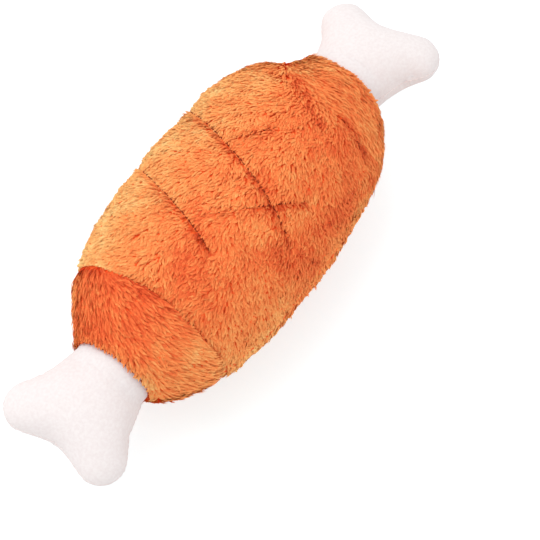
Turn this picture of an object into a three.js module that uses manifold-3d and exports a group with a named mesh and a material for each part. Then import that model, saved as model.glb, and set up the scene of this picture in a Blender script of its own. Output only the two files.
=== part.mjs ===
// A stuffed plush dog toy: a round barrel of long pile plush with a two-lobed bone end at each side,
// filled with fibre, with a bulb squeaker in its middle. It lies along X, the near bone at -X.
// Millimetres, +Z up, standing on Z = 0.
import * as THREE from 'three';
import { mergeVertices } from 'three/addons/utils/BufferGeometryUtils.js';
import Module from 'manifold-3d';

const wasm = await Module();
wasm.setup();

// Driving dimensions, in millimetres and degrees

// Fits
const CLEARANCE = 0.3; // between pieces that lie against each other
const PRESS_TRAVEL = 12; // how far a bite pushes the crown down
const NECK_SWING = 15; // how far a bone bends each way at its neck, degrees

// Barrel, measured at the tips of the pile
const BARREL_RADIUS = 38; // at the middle
const SEAM_RADIUS = 32.6; // beside the end seams
const SEAM_HALF_SPACING = 47; // from the middle to each end seam
const BARREL_BULGE = 2.5; // exponent of the swelling between the end seams
const END_HALF_SPACING = 69; // from the middle to the plane of each neck hole
const END_BULGE = 1.18; // exponent of the rounded cone of an end panel
const END_LIP = 0.7; // width of an end panel's edge round its neck hole
const FOOT_FLAT = 0.5; // how deep the belly is flattened where the toy lies on it

// Fabrics and threads
const PLUSH_THICKNESS = 4; // backing and pile together
const PLUSH_BACKING = 0.8; // what is left of the plush under a row of stitches
const BONE_CLOTH_THICKNESS = 1.6;
const SEAM_THREAD_RADIUS = 0.5;
const TOPSTITCH_THREAD_RADIUS = 0.45;
const BONE_THREAD_RADIUS = 0.35;
const END_CREASE_RADIUS = 2; // the furrow in the pile along an end seam
const SIDE_CREASE_RADIUS = 1.5;
const TOPSTITCH_CREASE_RADIUS = 1.6;

// Topstitched lines on the crown: distance along the toy from its middle, and degrees round it
// from the top, positive towards +Y
const TOPSTITCH_LONG_NEAR = { from: [-4, 75], to: [-24.8, -17] };
const TOPSTITCH_LONG_FAR = { from: [25, 75], to: [-3.1, -51.3] };
const TOPSTITCH_SHORT_NEAR = { from: [-18.6, 1], to: [12.1, -41.6] };
const TOPSTITCH_SHORT_FAR = { from: [13.2, 14.5], to: [26.3, -4.1] };
const CROSSING_LENGTH = 4; // over which one row of stitches climbs over another
const FURROW_RUN_ON = 2; // how far a furrow in the pile runs on past the last stitch

// Bone ends, each in its own frame: origin in the middle of its neck hole, +X out of the barrel
const NECK_BALL_RADIUS = 15; // the stuffed neck where it turns in the hole
const NECK_TUCK = 5; // how far the bone cloth reaches into the barrel
const NECK_RADIUS = 14.2; // just outside the hole
const NECK_SPARE = 3.2; // straight neck that is left outside the hole when the bone is bent
const NEAR_BONE_REACH = 38; // from the neck hole to the tips of the lobes
const FAR_BONE_REACH = 34.3;
const BONE_HALF_WIDTH = 23.7; // from the bone's axis to the side of a lobe
const BONE_HALF_THICKNESS = 12.5;
const LOBE_RADIUS = 8.6;
const NOTCH_DEPTH = 3.8; // between the two lobes
const NOTCH_SHOULDER = [0.75, 0.34]; // where the notch begins, as shares of its depth and of a lobe's middle
const FLARE = [0.4, 0.32]; // a point of the flare from neck to lobe, as shares of its length and width
const LOBE_ARC = [115, -20]; // where a lobe's round begins and ends, degrees from the bone's axis
const TUCK_ARC = [180, 92]; // the same for the tucked end
const NEAR_BONE_ROLL = 9; // turn about the toy's axis, degrees
const FAR_BONE_ROLL = -11;
const FAR_NECK_SHIFT = -2.5; // the far bone is sewn in off the middle, along Y

// Squeaker: a blown bulb lying flat in the middle, its valve down
const BULB_RADIUS = 22;
const BULB_HEIGHT = 24;
const BULB_WAIST_DEPTH = 2.4; // the one fold round its side
const BULB_WALL = 0.9;
const BULB_CORNER = 4; // rounding of its top and bottom edges
const VALVE_RADIUS = 6;
const VALVE_LENGTH = 7;
const VALVE_FLANGE_WIDTH = 1.4; // how far the flange stands out round the valve
const VALVE_FLANGE_THICKNESS = 1.2;
const VALVE_BORE_RADIUS = 1.5;
const REED_POCKET_RADIUS = 4.2;
const REED_POCKET_DEPTH = 3.4;
const REED_WIDTH = 3.2;
const REED_THICKNESS = 0.4;
const CLIP_THICKNESS = 1.4;
const CLIP_WALL = 2;

// Fineness of the faceting
const BARREL_SEGMENTS = 28;
const BARREL_STATIONS = 8;
const END_STATIONS = 5;
const THREAD_SIDES = 5;
const CREASE_SIDES = 6;
const RING_SEGMENTS = 28;
const SIDE_SEAM_STEPS = 8;
const TOPSTITCH_STEPS = 10;
const BONE_RINGS = 3;
const BONE_SEAM_STEPS = 24;
const LOBE_STEPS = 4;
const TUCK_STEPS = 3;
const BULB_CORNER_STEPS = 2;
const BULB_SEGMENTS = 20;
const BALL_WIDTH_SEGMENTS = 20;
const BALL_HEIGHT_SEGMENTS = 12;

// Sizes that follow from them
const AXIS_HEIGHT = BARREL_RADIUS - FOOT_FLAT;
const NECK_HOLE_RADIUS = NECK_BALL_RADIUS + 2 * BONE_THREAD_RADIUS + 2 * CLEARANCE;
const NECK_SEAM_RADIUS = NECK_BALL_RADIUS + CLEARANCE + BONE_THREAD_RADIUS;
const END_EDGE_RADIUS = NECK_HOLE_RADIUS + END_LIP;
const FURROW_DEPTH = PLUSH_THICKNESS - PLUSH_BACKING;
const NECK_LENGTH = NECK_SPARE + NECK_RADIUS * Math.tan(THREE.MathUtils.degToRad(NECK_SWING));
const ROOM = 4 * (BARREL_RADIUS + END_HALF_SPACING); // larger than the toy, for cutting blocks

// Colours seen on the toy
const PLUSH_ORANGE = 0xee7b44;
const SEAM_RUST = 0xb4451f;
const STITCH_BROWN = 0x8a3f1c;
const BONE_WHITE = 0xf8efed;
const FIBRE_WHITE = 0xf4f3ef;
const SQUEAKER_WHITE = 0xe9ebe6;
const VALVE_BLUE = 0xb9c8d4;
const REED_BRASS = 0xc9a24a;

const plush = (color) => new THREE.MeshStandardMaterial({ color, roughness: 0.95, metalness: 0 });
const plastic = (color) => new THREE.MeshStandardMaterial({ color, roughness: 0.45, metalness: 0 });
const metal = (color) => new THREE.MeshStandardMaterial({ color, roughness: 0.3, metalness: 1 });

// Solids and booleans

function solidOf(geometry) {
  const bare = geometry.index ? geometry.toNonIndexed() : geometry.clone();
  for (const name of Object.keys(bare.attributes)) {
    if (name !== 'position') bare.deleteAttribute(name);
  }
  const merged = mergeVertices(bare, 1e-4);
  const corners = merged.index.array;
  const kept = [];
  for (let i = 0; i < corners.length; i += 3) {
    const [a, b, c] = [corners[i], corners[i + 1], corners[i + 2]];
    if (a !== b && b !== c && c !== a) kept.push([a, b, c]);
  }
  const make = (triangles) => new wasm.Manifold(new wasm.Mesh({
    numProp: 3,
    vertProperties: new Float32Array(merged.attributes.position.array),
    triVerts: new Uint32Array(triangles.flat()),
  }));
  const solid = make(kept);
  return solid.volume() >= 0 ? solid : make(kept.map(([a, b, c]) => [a, c, b]));
}

function geometryOf(solid) {
  const mesh = solid.getMesh();
  const geometry = new THREE.BufferGeometry();
  geometry.setAttribute('position', new THREE.BufferAttribute(new Float32Array(mesh.vertProperties), 3));
  geometry.setIndex(new THREE.BufferAttribute(new Uint32Array(mesh.triVerts), 1));
  geometry.computeVertexNormals();
  return geometry;
}

const cut = (solid, ...tools) => tools.reduce((left, tool) => left.subtract(tool), solid);
const joined = (solid, ...others) => others.reduce((sum, other) => sum.add(other), solid);

function block(low, high) {
  const size = high.map((value, i) => value - low[i]);
  const geometry = new THREE.BoxGeometry(...size);
  geometry.translate(...low.map((value, i) => value + size[i] / 2));
  return solidOf(geometry);
}

const above = (z) => block([-ROOM, -ROOM, z], [ROOM, ROOM, ROOM]);
const below = (z) => block([-ROOM, -ROOM, -ROOM], [ROOM, ROOM, z]);
const between = (lowX, highX) => block([lowX, -ROOM, -ROOM], [highX, ROOM, ROOM]);

// A ball whose corners lie on the given radius.
function ball(centre, radius) {
  const geometry = new THREE.SphereGeometry(radius, BALL_WIDTH_SEGMENTS, BALL_HEIGHT_SEGMENTS);
  geometry.rotateZ(Math.PI / 2);
  geometry.translate(centre.x, centre.y, centre.z);
  return solidOf(geometry);
}

// A ball whose flats lie outside the given radius, for cutting a hole in which a ball turns.
function roomyBall(centre, radius) {
  const flat = Math.cos(Math.PI / BALL_WIDTH_SEGMENTS) * Math.cos(Math.PI / (2 * BALL_HEIGHT_SEGMENTS));
  return ball(centre, radius / flat);
}

// A profile of [distance along the axis, radius] turned round the barrel's axis.
function turnedAlongX(profile, closed) {
  const points = profile.map(([along, radius]) => new THREE.Vector2(radius, along));
  if (closed) points.push(points[0].clone());
  const geometry = new THREE.LatheGeometry(points, BARREL_SEGMENTS);
  geometry.rotateZ(-Math.PI / 2);
  geometry.translate(0, 0, AXIS_HEIGHT);
  return solidOf(geometry);
}

// A profile of [radius, height] turned round the squeaker's axis.
function turnedAlongZ(profile, closed) {
  const points = profile.map(([radius, height]) => new THREE.Vector2(radius, height));
  if (closed) points.push(points[0].clone());
  const geometry = new THREE.LatheGeometry(points, BULB_SEGMENTS);
  geometry.rotateX(Math.PI / 2);
  return solidOf(geometry);
}

function polygon(radius, sides) {
  const corners = Array.from({ length: sides }, (_, i) => {
    const angle = (2 * Math.PI * i) / sides;
    return new THREE.Vector2(radius * Math.cos(angle), radius * Math.sin(angle));
  });
  return new THREE.Shape(corners);
}

// A thread: its corners lie on the given radius.
function thread(points, radius, steps, sides = THREAD_SIDES) {
  const extrudePath = new THREE.CatmullRomCurve3(points);
  return solidOf(new THREE.ExtrudeGeometry(polygon(radius, sides), { steps, extrudePath }));
}

// A furrow: its flats lie on the given radius, so that nothing of that radius touches it.
function furrow(points, radius, steps) {
  return thread(points, radius / Math.cos(Math.PI / CREASE_SIDES), steps, CREASE_SIDES);
}

// A ring round the barrel's axis, or round a line beside it.
function ring(x, radius, section, sides, y = 0) {
  const geometry = new THREE.TorusGeometry(radius, section, sides, RING_SEGMENTS);
  geometry.rotateY(Math.PI / 2);
  geometry.translate(x, y, AXIS_HEIGHT);
  return solidOf(geometry);
}

// Outline of the barrel, at the tips of the pile

const barrelRadius = (x) =>
  BARREL_RADIUS - (BARREL_RADIUS - SEAM_RADIUS) * Math.abs(x / SEAM_HALF_SPACING) ** BARREL_BULGE;

function barrelOutline(halfLength) {
  return Array.from({ length: BARREL_STATIONS + 1 }, (_, i) => {
    const x = halfLength * (2 * (i / BARREL_STATIONS) - 1);
    return [x, barrelRadius(x)];
  });
}

// Rounded cone from the end seam to the edge of the neck hole.
function endOutline() {
  const start = SEAM_HALF_SPACING + CLEARANCE / 2;
  return Array.from({ length: END_STATIONS + 1 }, (_, i) => {
    const share = Math.sin((Math.PI / 2) * (i / END_STATIONS));
    const drop = (1 - share ** END_BULGE) ** (1 / END_BULGE);
    const x = start + (END_HALF_SPACING - start) * share;
    return [x, END_EDGE_RADIUS + (SEAM_RADIUS - END_EDGE_RADIUS) * drop];
  });
}

// The same line moved inwards, square to itself.
function inset(outline, depth) {
  return outline.map(([x, r], i) => {
    const [x0, r0] = outline[Math.max(i - 1, 0)];
    const [x1, r1] = outline[Math.min(i + 1, outline.length - 1)];
    const length = Math.hypot(x1 - x0, r1 - r0);
    return [x + (depth * (r1 - r0)) / length, r - (depth * (x1 - x0)) / length];
  });
}

// A point under the pile: along the toy, degrees from the top, and depth below the tips.
function underPile([x, degrees], depth) {
  const angle = THREE.MathUtils.degToRad(degrees);
  const radius = barrelRadius(x) - depth;
  return new THREE.Vector3(x, radius * Math.sin(angle), AXIS_HEIGHT + radius * Math.cos(angle));
}

// Seams: each thread lies at the bottom of its furrow

const seamDepth = FURROW_DEPTH - CLEARANCE - SEAM_THREAD_RADIUS;
const endSeam = (side) => ring(
  side * SEAM_HALF_SPACING, SEAM_RADIUS - seamDepth, SEAM_THREAD_RADIUS, THREAD_SIDES);
const endFurrow = (side) => ring(
  side * SEAM_HALF_SPACING, SEAM_RADIUS - FURROW_DEPTH + END_CREASE_RADIUS,
  END_CREASE_RADIUS / Math.cos(Math.PI / CREASE_SIDES), CREASE_SIDES);

function sideLine(side, depth, halfLength) {
  return Array.from({ length: SIDE_SEAM_STEPS + 1 }, (_, i) => {
    const x = halfLength * (2 * (i / SIDE_SEAM_STEPS) - 1);
    return underPile([x, side * 90], depth);
  });
}

const sideSeamHalfLength = SEAM_HALF_SPACING - SEAM_THREAD_RADIUS - CLEARANCE;
const sideSeam = (side) => thread(
  sideLine(side, seamDepth, sideSeamHalfLength), SEAM_THREAD_RADIUS, SIDE_SEAM_STEPS);
const sideFurrow = (side) => furrow(
  sideLine(side, FURROW_DEPTH - SIDE_CREASE_RADIUS, SEAM_HALF_SPACING),
  SIDE_CREASE_RADIUS, SIDE_SEAM_STEPS);

// Topstitched rows

const along = (row, share) => row.from.map((value, i) => value + (row.to[i] - value) * share);

// The share of row at which it crosses the other one, both taken as straight on the flat panel.
function crossingShare(row, other) {
  const [dx, da] = [row.to[0] - row.from[0], row.to[1] - row.from[1]];
  const [ex, ea] = [other.to[0] - other.from[0], other.to[1] - other.from[1]];
  const [gx, ga] = [other.from[0] - row.from[0], other.from[1] - row.from[1]];
  return (gx * ea - ga * ex) / (dx * ea - da * ex);
}

const topstitchDepth = FURROW_DEPTH - CLEARANCE - TOPSTITCH_THREAD_RADIUS;

// A row of stitches, which climbs over the row that it crosses, if any.
function topstitch(row, crossed) {
  const crossing = crossed && underPile(along(row, crossingShare(row, crossed)), topstitchDepth);
  const points = Array.from({ length: TOPSTITCH_STEPS + 1 }, (_, i) => {
    const place = along(row, i / TOPSTITCH_STEPS);
    const distance = crossing ? underPile(place, topstitchDepth).distanceTo(crossing) : Infinity;
    const nearness = Math.exp(-((distance / CROSSING_LENGTH) ** 2));
    return underPile(place, topstitchDepth - (2 * TOPSTITCH_THREAD_RADIUS + CLEARANCE) * nearness);
  });
  return thread(points, TOPSTITCH_THREAD_RADIUS, TOPSTITCH_STEPS);
}

function topstitchFurrow(row) {
  const depth = FURROW_DEPTH - TOPSTITCH_CREASE_RADIUS;
  const runOn = FURROW_RUN_ON / underPile(row.from, depth).distanceTo(underPile(row.to, depth));
  const points = Array.from({ length: TOPSTITCH_STEPS + 1 }, (_, i) => {
    const share = (i / TOPSTITCH_STEPS) * (1 + 2 * runOn) - runOn;
    return underPile(along(row, share), depth);
  });
  return furrow(points, TOPSTITCH_CREASE_RADIUS, TOPSTITCH_STEPS);
}

const topstitchRows = [
  { name: 'long_near', row: TOPSTITCH_LONG_NEAR },
  { name: 'long_far', row: TOPSTITCH_LONG_FAR },
  { name: 'short_near', row: TOPSTITCH_SHORT_NEAR, crossed: TOPSTITCH_LONG_FAR },
  { name: 'short_far', row: TOPSTITCH_SHORT_FAR },
];

// Neck holes

const neckCentre = (side) => new THREE.Vector3(
  side * END_HALF_SPACING, side > 0 ? FAR_NECK_SHIFT : 0, AXIS_HEIGHT);
const neckHole = (side) => roomyBall(neckCentre(side), NECK_HOLE_RADIUS);

// Plush panels

function barrelTube() {
  const outline = barrelOutline(SEAM_HALF_SPACING - CLEARANCE / 2);
  return turnedAlongX([...outline, ...inset(outline, PLUSH_THICKNESS).reverse()], true);
}

function crownPanel() {
  return cut(
    barrelTube().intersect(above(AXIS_HEIGHT + CLEARANCE / 2)),
    endFurrow(-1), endFurrow(1), sideFurrow(-1), sideFurrow(1),
    ...topstitchRows.map(({ row }) => topstitchFurrow(row)));
}

function bellyPanel() {
  return cut(
    barrelTube().intersect(below(AXIS_HEIGHT - CLEARANCE / 2)),
    endFurrow(-1), endFurrow(1), sideFurrow(-1), sideFurrow(1), below(0));
}

const mirroredX = (profile, side) => profile.map(([x, r]) => [side * x, r]);

function endPanel(side) {
  const outer = endOutline();
  const inner = inset(outer, PLUSH_THICKNESS);
  const insideHole = NECK_HOLE_RADIUS - PLUSH_THICKNESS;
  const edge = [
    [END_HALF_SPACING, insideHole],
    [END_HALF_SPACING - PLUSH_THICKNESS, insideHole],
  ];
  const profile = [...outer, ...edge, ...inner.filter(([, r]) => r > insideHole).reverse()];
  const seamEdge = side * (SEAM_HALF_SPACING + CLEARANCE / 2);
  const outwards = side > 0 ? between(seamEdge, ROOM) : between(-ROOM, seamEdge);
  const cone = turnedAlongX(mirroredX(profile, side), true).intersect(outwards);
  return cut(cone, endFurrow(side), neckHole(side));
}

// Stuffing

// Everything inside the plush, as one body from neck to neck. It stops where the bone cloths begin.
function hollow() {
  const barrel = inset(barrelOutline(SEAM_HALF_SPACING), PLUSH_THICKNESS + CLEARANCE);
  const end = inset(endOutline(), PLUSH_THICKNESS + CLEARANCE).slice(1);
  const inside = end.filter(([x]) => x < END_HALF_SPACING - NECK_TUCK);
  const half = [...inside, [inside[inside.length - 1][0], 0]];
  const other = half.map(([x, r]) => [-x, r]).reverse();
  const middle = barrel.slice(1, -1);
  return turnedAlongX([...other, ...middle, ...half], false);
}

// The wad under the crown, narrow enough to stay inside the belly when the crown is pressed down.
function upperStuffing() {
  const pressed = hollow().translate([0, 0, PRESS_TRAVEL]);
  const wad = hollow()
    .intersect(pressed)
    .intersect(between(-SEAM_HALF_SPACING, SEAM_HALF_SPACING))
    .intersect(above(AXIS_HEIGHT + CLEARANCE / 2));
  return cut(wad, squeakerRoom());
}

function lowerStuffing() {
  const crownRoom = between(-SEAM_HALF_SPACING - CLEARANCE, SEAM_HALF_SPACING + CLEARANCE)
    .intersect(above(AXIS_HEIGHT - CLEARANCE / 2));
  return cut(hollow(), crownRoom, squeakerRoom(), neckHole(-1), neckHole(1));
}

// Squeaker

const bulbFloor = AXIS_HEIGHT - BULB_HEIGHT / 2;
const bulbTop = AXIS_HEIGHT + BULB_HEIGHT / 2;

// Half outline of the bulb from its neck to its top, moved outwards by swell.
function bulbOutline(swell) {
  const reach = BULB_CORNER + swell;
  const corner = (height, turn) => Array.from({ length: BULB_CORNER_STEPS + 1 }, (_, i) => {
    const angle = (turn + i / BULB_CORNER_STEPS) * (Math.PI / 2);
    return [BULB_RADIUS - BULB_CORNER + reach * Math.cos(angle), height + reach * Math.sin(angle)];
  });
  const waist = BULB_RADIUS - BULB_WAIST_DEPTH + swell;
  return [
    [VALVE_RADIUS + CLEARANCE + BULB_WALL + swell, bulbFloor - swell],
    ...corner(bulbFloor + BULB_CORNER, -1),
    [waist, AXIS_HEIGHT],
    ...corner(bulbTop - BULB_CORNER, 0),
  ];
}

function squeakerBulb() {
  const outer = bulbOutline(0);
  const inner = bulbOutline(-BULB_WALL).slice(1).reverse();
  const mouth = VALVE_RADIUS + CLEARANCE;
  return turnedAlongZ([
    [mouth, bulbFloor], ...outer, [0, bulbTop], [0, bulbTop - BULB_WALL], ...inner,
    [mouth, bulbFloor + BULB_WALL],
  ], true);
}

const flangeTop = bulbFloor - CLEARANCE;
const flangeRadius = VALVE_RADIUS + VALVE_FLANGE_WIDTH;
const valveFoot = flangeTop - VALVE_FLANGE_THICKNESS;
const valveTop = bulbFloor + VALVE_LENGTH;
const pocketFloor = valveTop - REED_POCKET_DEPTH;

function squeakerValve() {
  return turnedAlongZ([
    [VALVE_BORE_RADIUS, valveFoot], [flangeRadius, valveFoot], [flangeRadius, flangeTop],
    [VALVE_RADIUS, flangeTop], [VALVE_RADIUS, valveTop], [REED_POCKET_RADIUS, valveTop],
    [REED_POCKET_RADIUS, pocketFloor], [VALVE_BORE_RADIUS, pocketFloor],
  ], true);
}

const pocketInside = REED_POCKET_RADIUS - CLEARANCE;
const reedFloor = pocketFloor + CLEARANCE;

// A strip across the bore, with ends cut to the round pocket.
function squeakerReed() {
  const flats = pocketInside * Math.cos(Math.PI / BULB_SEGMENTS);
  const halfLength = Math.sqrt(flats ** 2 - (REED_WIDTH / 2) ** 2);
  return block(
    [-halfLength, -REED_WIDTH / 2, reedFloor],
    [halfLength, REED_WIDTH / 2, reedFloor + REED_THICKNESS]);
}

function squeakerReedClip() {
  const floor = reedFloor + REED_THICKNESS + CLEARANCE;
  const [inner, outer] = [pocketInside - CLIP_WALL, pocketInside];
  return turnedAlongZ([
    [inner, floor], [outer, floor], [outer, floor + CLIP_THICKNESS], [inner, floor + CLIP_THICKNESS],
  ], true);
}

// The room that the squeaker takes up between the two wads.
function squeakerRoom() {
  const foot = valveFoot - CLEARANCE;
  const side = flangeRadius + CLEARANCE;
  return turnedAlongZ([
    [0, foot], [side, foot], [side, bulbFloor - CLEARANCE], ...bulbOutline(CLEARANCE).slice(1),
    [0, bulbTop + CLEARANCE],
  ], false);
}

// Bone ends

// Plan outline of the bone cloth as [x, y], from the tucked end round both lobes and back.
function boneOutline(reach, depth) {
  const lobeX = reach - LOBE_RADIUS;
  const lobeY = BONE_HALF_WIDTH - LOBE_RADIUS;
  const arc = ([from, to], steps, place) => Array.from({ length: steps + 1 }, (_, i) => {
    const angle = THREE.MathUtils.degToRad(from + (to - from) * (i / steps));
    return place(Math.cos(angle), Math.sin(angle));
  });
  const half = [
    ...arc(TUCK_ARC, TUCK_STEPS, (cos, sin) => [NECK_BALL_RADIUS * cos, NECK_RADIUS * sin]),
    [NECK_LENGTH, NECK_RADIUS],
    [
      NECK_LENGTH + (lobeX - NECK_LENGTH) * FLARE[0],
      NECK_RADIUS + (BONE_HALF_WIDTH - NECK_RADIUS) * FLARE[1],
    ],
    ...arc(LOBE_ARC, LOBE_STEPS, (cos, sin) => [lobeX + LOBE_RADIUS * cos, lobeY + LOBE_RADIUS * sin]),
    [reach - NOTCH_DEPTH * NOTCH_SHOULDER[0], lobeY * NOTCH_SHOULDER[1]],
    [reach - NOTCH_DEPTH, 0],
  ];
  const back = half.slice(1, -1).map(([x, y]) => [x, -y]).reverse();
  const loop = [...half, ...back];
  return loop.map(([x, y], i) => {
    const [x0, y0] = loop[(i - 1 + loop.length) % loop.length];
    const [x1, y1] = loop[(i + 1) % loop.length];
    const length = Math.hypot(x1 - x0, y1 - y0);
    return [x + (depth * (y1 - y0)) / length, y - (depth * (x1 - x0)) / length];
  });
}

// The stuffed bone: its outline puffed up on both faces, round a middle that sees all of it.
function bonePillow(reach, depth) {
  const outline = boneOutline(reach, depth);
  const middle = (reach - LOBE_RADIUS) / 2;
  const height = BONE_HALF_THICKNESS - depth;
  const count = outline.length;
  const positions = [];
  const place = (face, step, i) => {
    const share = Math.sin((Math.PI / 2) * (step / BONE_RINGS));
    const [x, y] = outline[i % count];
    const rise = face * height * Math.sqrt(Math.max(0, 1 - share ** 2));
    positions.push(middle + (x - middle) * share, y * share, rise);
  };
  for (const face of [1, -1]) {
    for (let step = 0; step < BONE_RINGS; step += 1) {
      for (let i = 0; i < count; i += 1) {
        const quad = [[step, i], [step + 1, i], [step + 1, i + 1], [step, i + 1]];
        const corners = step === 0 ? [[0, 1, 2]] : [[0, 1, 2], [0, 2, 3]];
        for (const [a, b, c] of corners) {
          for (const k of face > 0 ? [a, b, c] : [a, c, b]) place(face, ...quad[k]);
        }
      }
    }
  }
  const geometry = new THREE.BufferGeometry();
  geometry.setAttribute('position', new THREE.Float32BufferAttribute(positions, 3));
  return solidOf(geometry);
}

const boneOrigin = new THREE.Vector3(0, 0, 0);

// The neck ball and the pillow outside the hole, cut off where the cloth is tucked in.
function boneBody(reach, depth) {
  const neckBall = ball(boneOrigin, NECK_BALL_RADIUS - depth);
  const outside = bonePillow(reach, depth).intersect(between(0, ROOM));
  return joined(neckBall, outside).intersect(between(-NECK_TUCK, ROOM));
}

function boneSeamLine(reach, depth) {
  return boneOutline(reach, depth)
    .slice(1)
    .filter(([x]) => x > -NECK_TUCK)
    .map(([x, y]) => new THREE.Vector3(x, y, 0));
}

const boneSeamDepth = BONE_THREAD_RADIUS + CLEARANCE;

function boneEdgeSeam(reach) {
  return thread(boneSeamLine(reach, boneSeamDepth), BONE_THREAD_RADIUS, BONE_SEAM_STEPS);
}

// The two cloths meet at the seam thread, which lies between their edges.
function bonePanel(reach, face) {
  const cloth = cut(boneBody(reach, 0), boneBody(reach, BONE_CLOTH_THICKNESS));
  return cloth.intersect(face > 0 ? above(boneSeamDepth) : below(-boneSeamDepth));
}

const boneStuffing = (reach) => boneBody(reach, BONE_CLOTH_THICKNESS + CLEARANCE);

// The toy

const toy = new THREE.Group();

function addPiece(parent, name, solid, material) {
  const mesh = new THREE.Mesh(geometryOf(solid), material);
  mesh.name = name;
  parent.add(mesh);
  return mesh;
}

addPiece(toy, 'crown_panel', crownPanel(), plush(PLUSH_ORANGE));
addPiece(toy, 'belly_panel', bellyPanel(), plush(PLUSH_ORANGE));
addPiece(toy, 'near_end_panel', endPanel(-1), plush(PLUSH_ORANGE));
addPiece(toy, 'far_end_panel', endPanel(1), plush(PLUSH_ORANGE));
addPiece(toy, 'near_end_seam', endSeam(-1), plush(SEAM_RUST));
addPiece(toy, 'far_end_seam', endSeam(1), plush(SEAM_RUST));
addPiece(toy, 'left_side_seam', sideSeam(1), plush(SEAM_RUST));
addPiece(toy, 'right_side_seam', sideSeam(-1), plush(SEAM_RUST));
for (const { name, row, crossed } of topstitchRows) {
  addPiece(toy, `topstitch_${name}`, topstitch(row, crossed), plush(STITCH_BROWN));
}
addPiece(toy, 'upper_stuffing', upperStuffing(), plush(FIBRE_WHITE));
addPiece(toy, 'lower_stuffing', lowerStuffing(), plush(FIBRE_WHITE));
addPiece(toy, 'squeaker_bulb', squeakerBulb(), plastic(SQUEAKER_WHITE));
addPiece(toy, 'squeaker_valve', squeakerValve(), plastic(VALVE_BLUE));
addPiece(toy, 'squeaker_reed', squeakerReed(), metal(REED_BRASS));
addPiece(toy, 'squeaker_reed_clip', squeakerReedClip(), plastic(VALVE_BLUE));

const bones = [
  { name: 'near', side: -1, reach: NEAR_BONE_REACH, roll: NEAR_BONE_ROLL },
  { name: 'far', side: 1, reach: FAR_BONE_REACH, roll: FAR_BONE_ROLL },
];

for (const { name, side, reach, roll } of bones) {
  const centre = neckCentre(side);
  const neckSeam = ring(centre.x, NECK_SEAM_RADIUS, BONE_THREAD_RADIUS, THREAD_SIDES, centre.y);
  addPiece(toy, `${name}_neck_seam`, neckSeam, plush(SEAM_RUST));
  const bone = new THREE.Group();
  bone.position.copy(centre);
  bone.rotation.set(THREE.MathUtils.degToRad(roll), 0, side > 0 ? 0 : Math.PI);
  addPiece(bone, `${name}_bone_upper_panel`, bonePanel(reach, 1), plush(BONE_WHITE));
  addPiece(bone, `${name}_bone_lower_panel`, bonePanel(reach, -1), plush(BONE_WHITE));
  addPiece(bone, `${name}_bone_stuffing`, boneStuffing(reach), plush(FIBRE_WHITE));
  addPiece(bone, `${name}_bone_edge_seam`, boneEdgeSeam(reach), plush(BONE_WHITE));
  toy.add(bone);
}

// The origin lies on the floor under the middle of the toy's box.
toy.updateMatrixWorld(true);
const middle = new THREE.Box3().setFromObject(toy, true).getCenter(new THREE.Vector3());
toy.position.set(-middle.x, -middle.y, 0);

export default toy;
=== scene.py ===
"""A stuffed plush dog toy: an orange barrel of short pile with a white two-lobed bone end at each side.

Blender 4.5, metres, +Z up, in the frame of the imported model.
"""

import math

import bpy
import numpy as np
from mathutils import Matrix, Vector


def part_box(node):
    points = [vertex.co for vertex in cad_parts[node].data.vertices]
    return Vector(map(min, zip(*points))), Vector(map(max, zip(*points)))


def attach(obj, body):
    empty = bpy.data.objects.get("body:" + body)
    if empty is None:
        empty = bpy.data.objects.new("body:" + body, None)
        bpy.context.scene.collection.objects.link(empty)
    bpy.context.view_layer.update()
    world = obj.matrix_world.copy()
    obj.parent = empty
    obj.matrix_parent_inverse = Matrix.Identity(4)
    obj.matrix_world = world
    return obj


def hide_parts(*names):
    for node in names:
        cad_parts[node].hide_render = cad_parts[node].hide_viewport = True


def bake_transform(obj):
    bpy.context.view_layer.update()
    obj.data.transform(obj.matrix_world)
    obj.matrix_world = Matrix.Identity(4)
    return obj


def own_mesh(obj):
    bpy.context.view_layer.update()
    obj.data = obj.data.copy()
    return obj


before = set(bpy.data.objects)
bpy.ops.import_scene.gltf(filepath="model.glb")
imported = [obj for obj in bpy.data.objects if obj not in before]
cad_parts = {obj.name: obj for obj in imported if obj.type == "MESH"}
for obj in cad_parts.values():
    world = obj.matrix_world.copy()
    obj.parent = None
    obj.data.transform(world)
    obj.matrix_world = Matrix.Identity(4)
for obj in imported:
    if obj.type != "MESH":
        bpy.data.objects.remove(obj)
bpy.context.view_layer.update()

MM = 0.001

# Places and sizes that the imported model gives


def box_of(node):
    """Lowest corner, highest corner and middle of a node of the model."""
    low, high = (np.array(corner, float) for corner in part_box(node))
    return low, high, (low + high) / 2


NECK = {side: box_of(f"{side}_neck_seam")[2] for side in ("near", "far")}
BONE_TIP = {
    "near": min(box_of(f"near_bone_{face}_panel")[0][0] for face in ("upper", "lower")),
    "far": max(box_of(f"far_bone_{face}_panel")[1][0] for face in ("upper", "lower")),
}
SEAM_X = {side: box_of(f"{side}_end_seam")[2][0] for side in ("near", "far")}
AXIS_Z = NECK["near"][2]
MIDDLE_X = (SEAM_X["near"] + SEAM_X["far"]) / 2
MIDDLE = Vector((MIDDLE_X, 0.0, AXIS_Z))
SEAM_HALF_SPACING = (SEAM_X["far"] - SEAM_X["near"]) / 2
END_HALF_SPACING = (NECK["far"][0] - NECK["near"][0]) / 2
BARREL_RADIUS = box_of("crown_panel")[1][2] - AXIS_Z
SEAM_RADIUS = box_of("near_end_panel")[1][1]

# Shape of the barrel, as in the model

BARREL_BULGE = 2.5
END_BULGE = 1.18
END_EDGE_RADIUS = 17 * MM
FLOOR_SKIN = 0.9 * MM  # the skin stays this far above the floor, on its pressed pile

# Topstitched rows: distance along the toy from its middle, and degrees round it from the top

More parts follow.
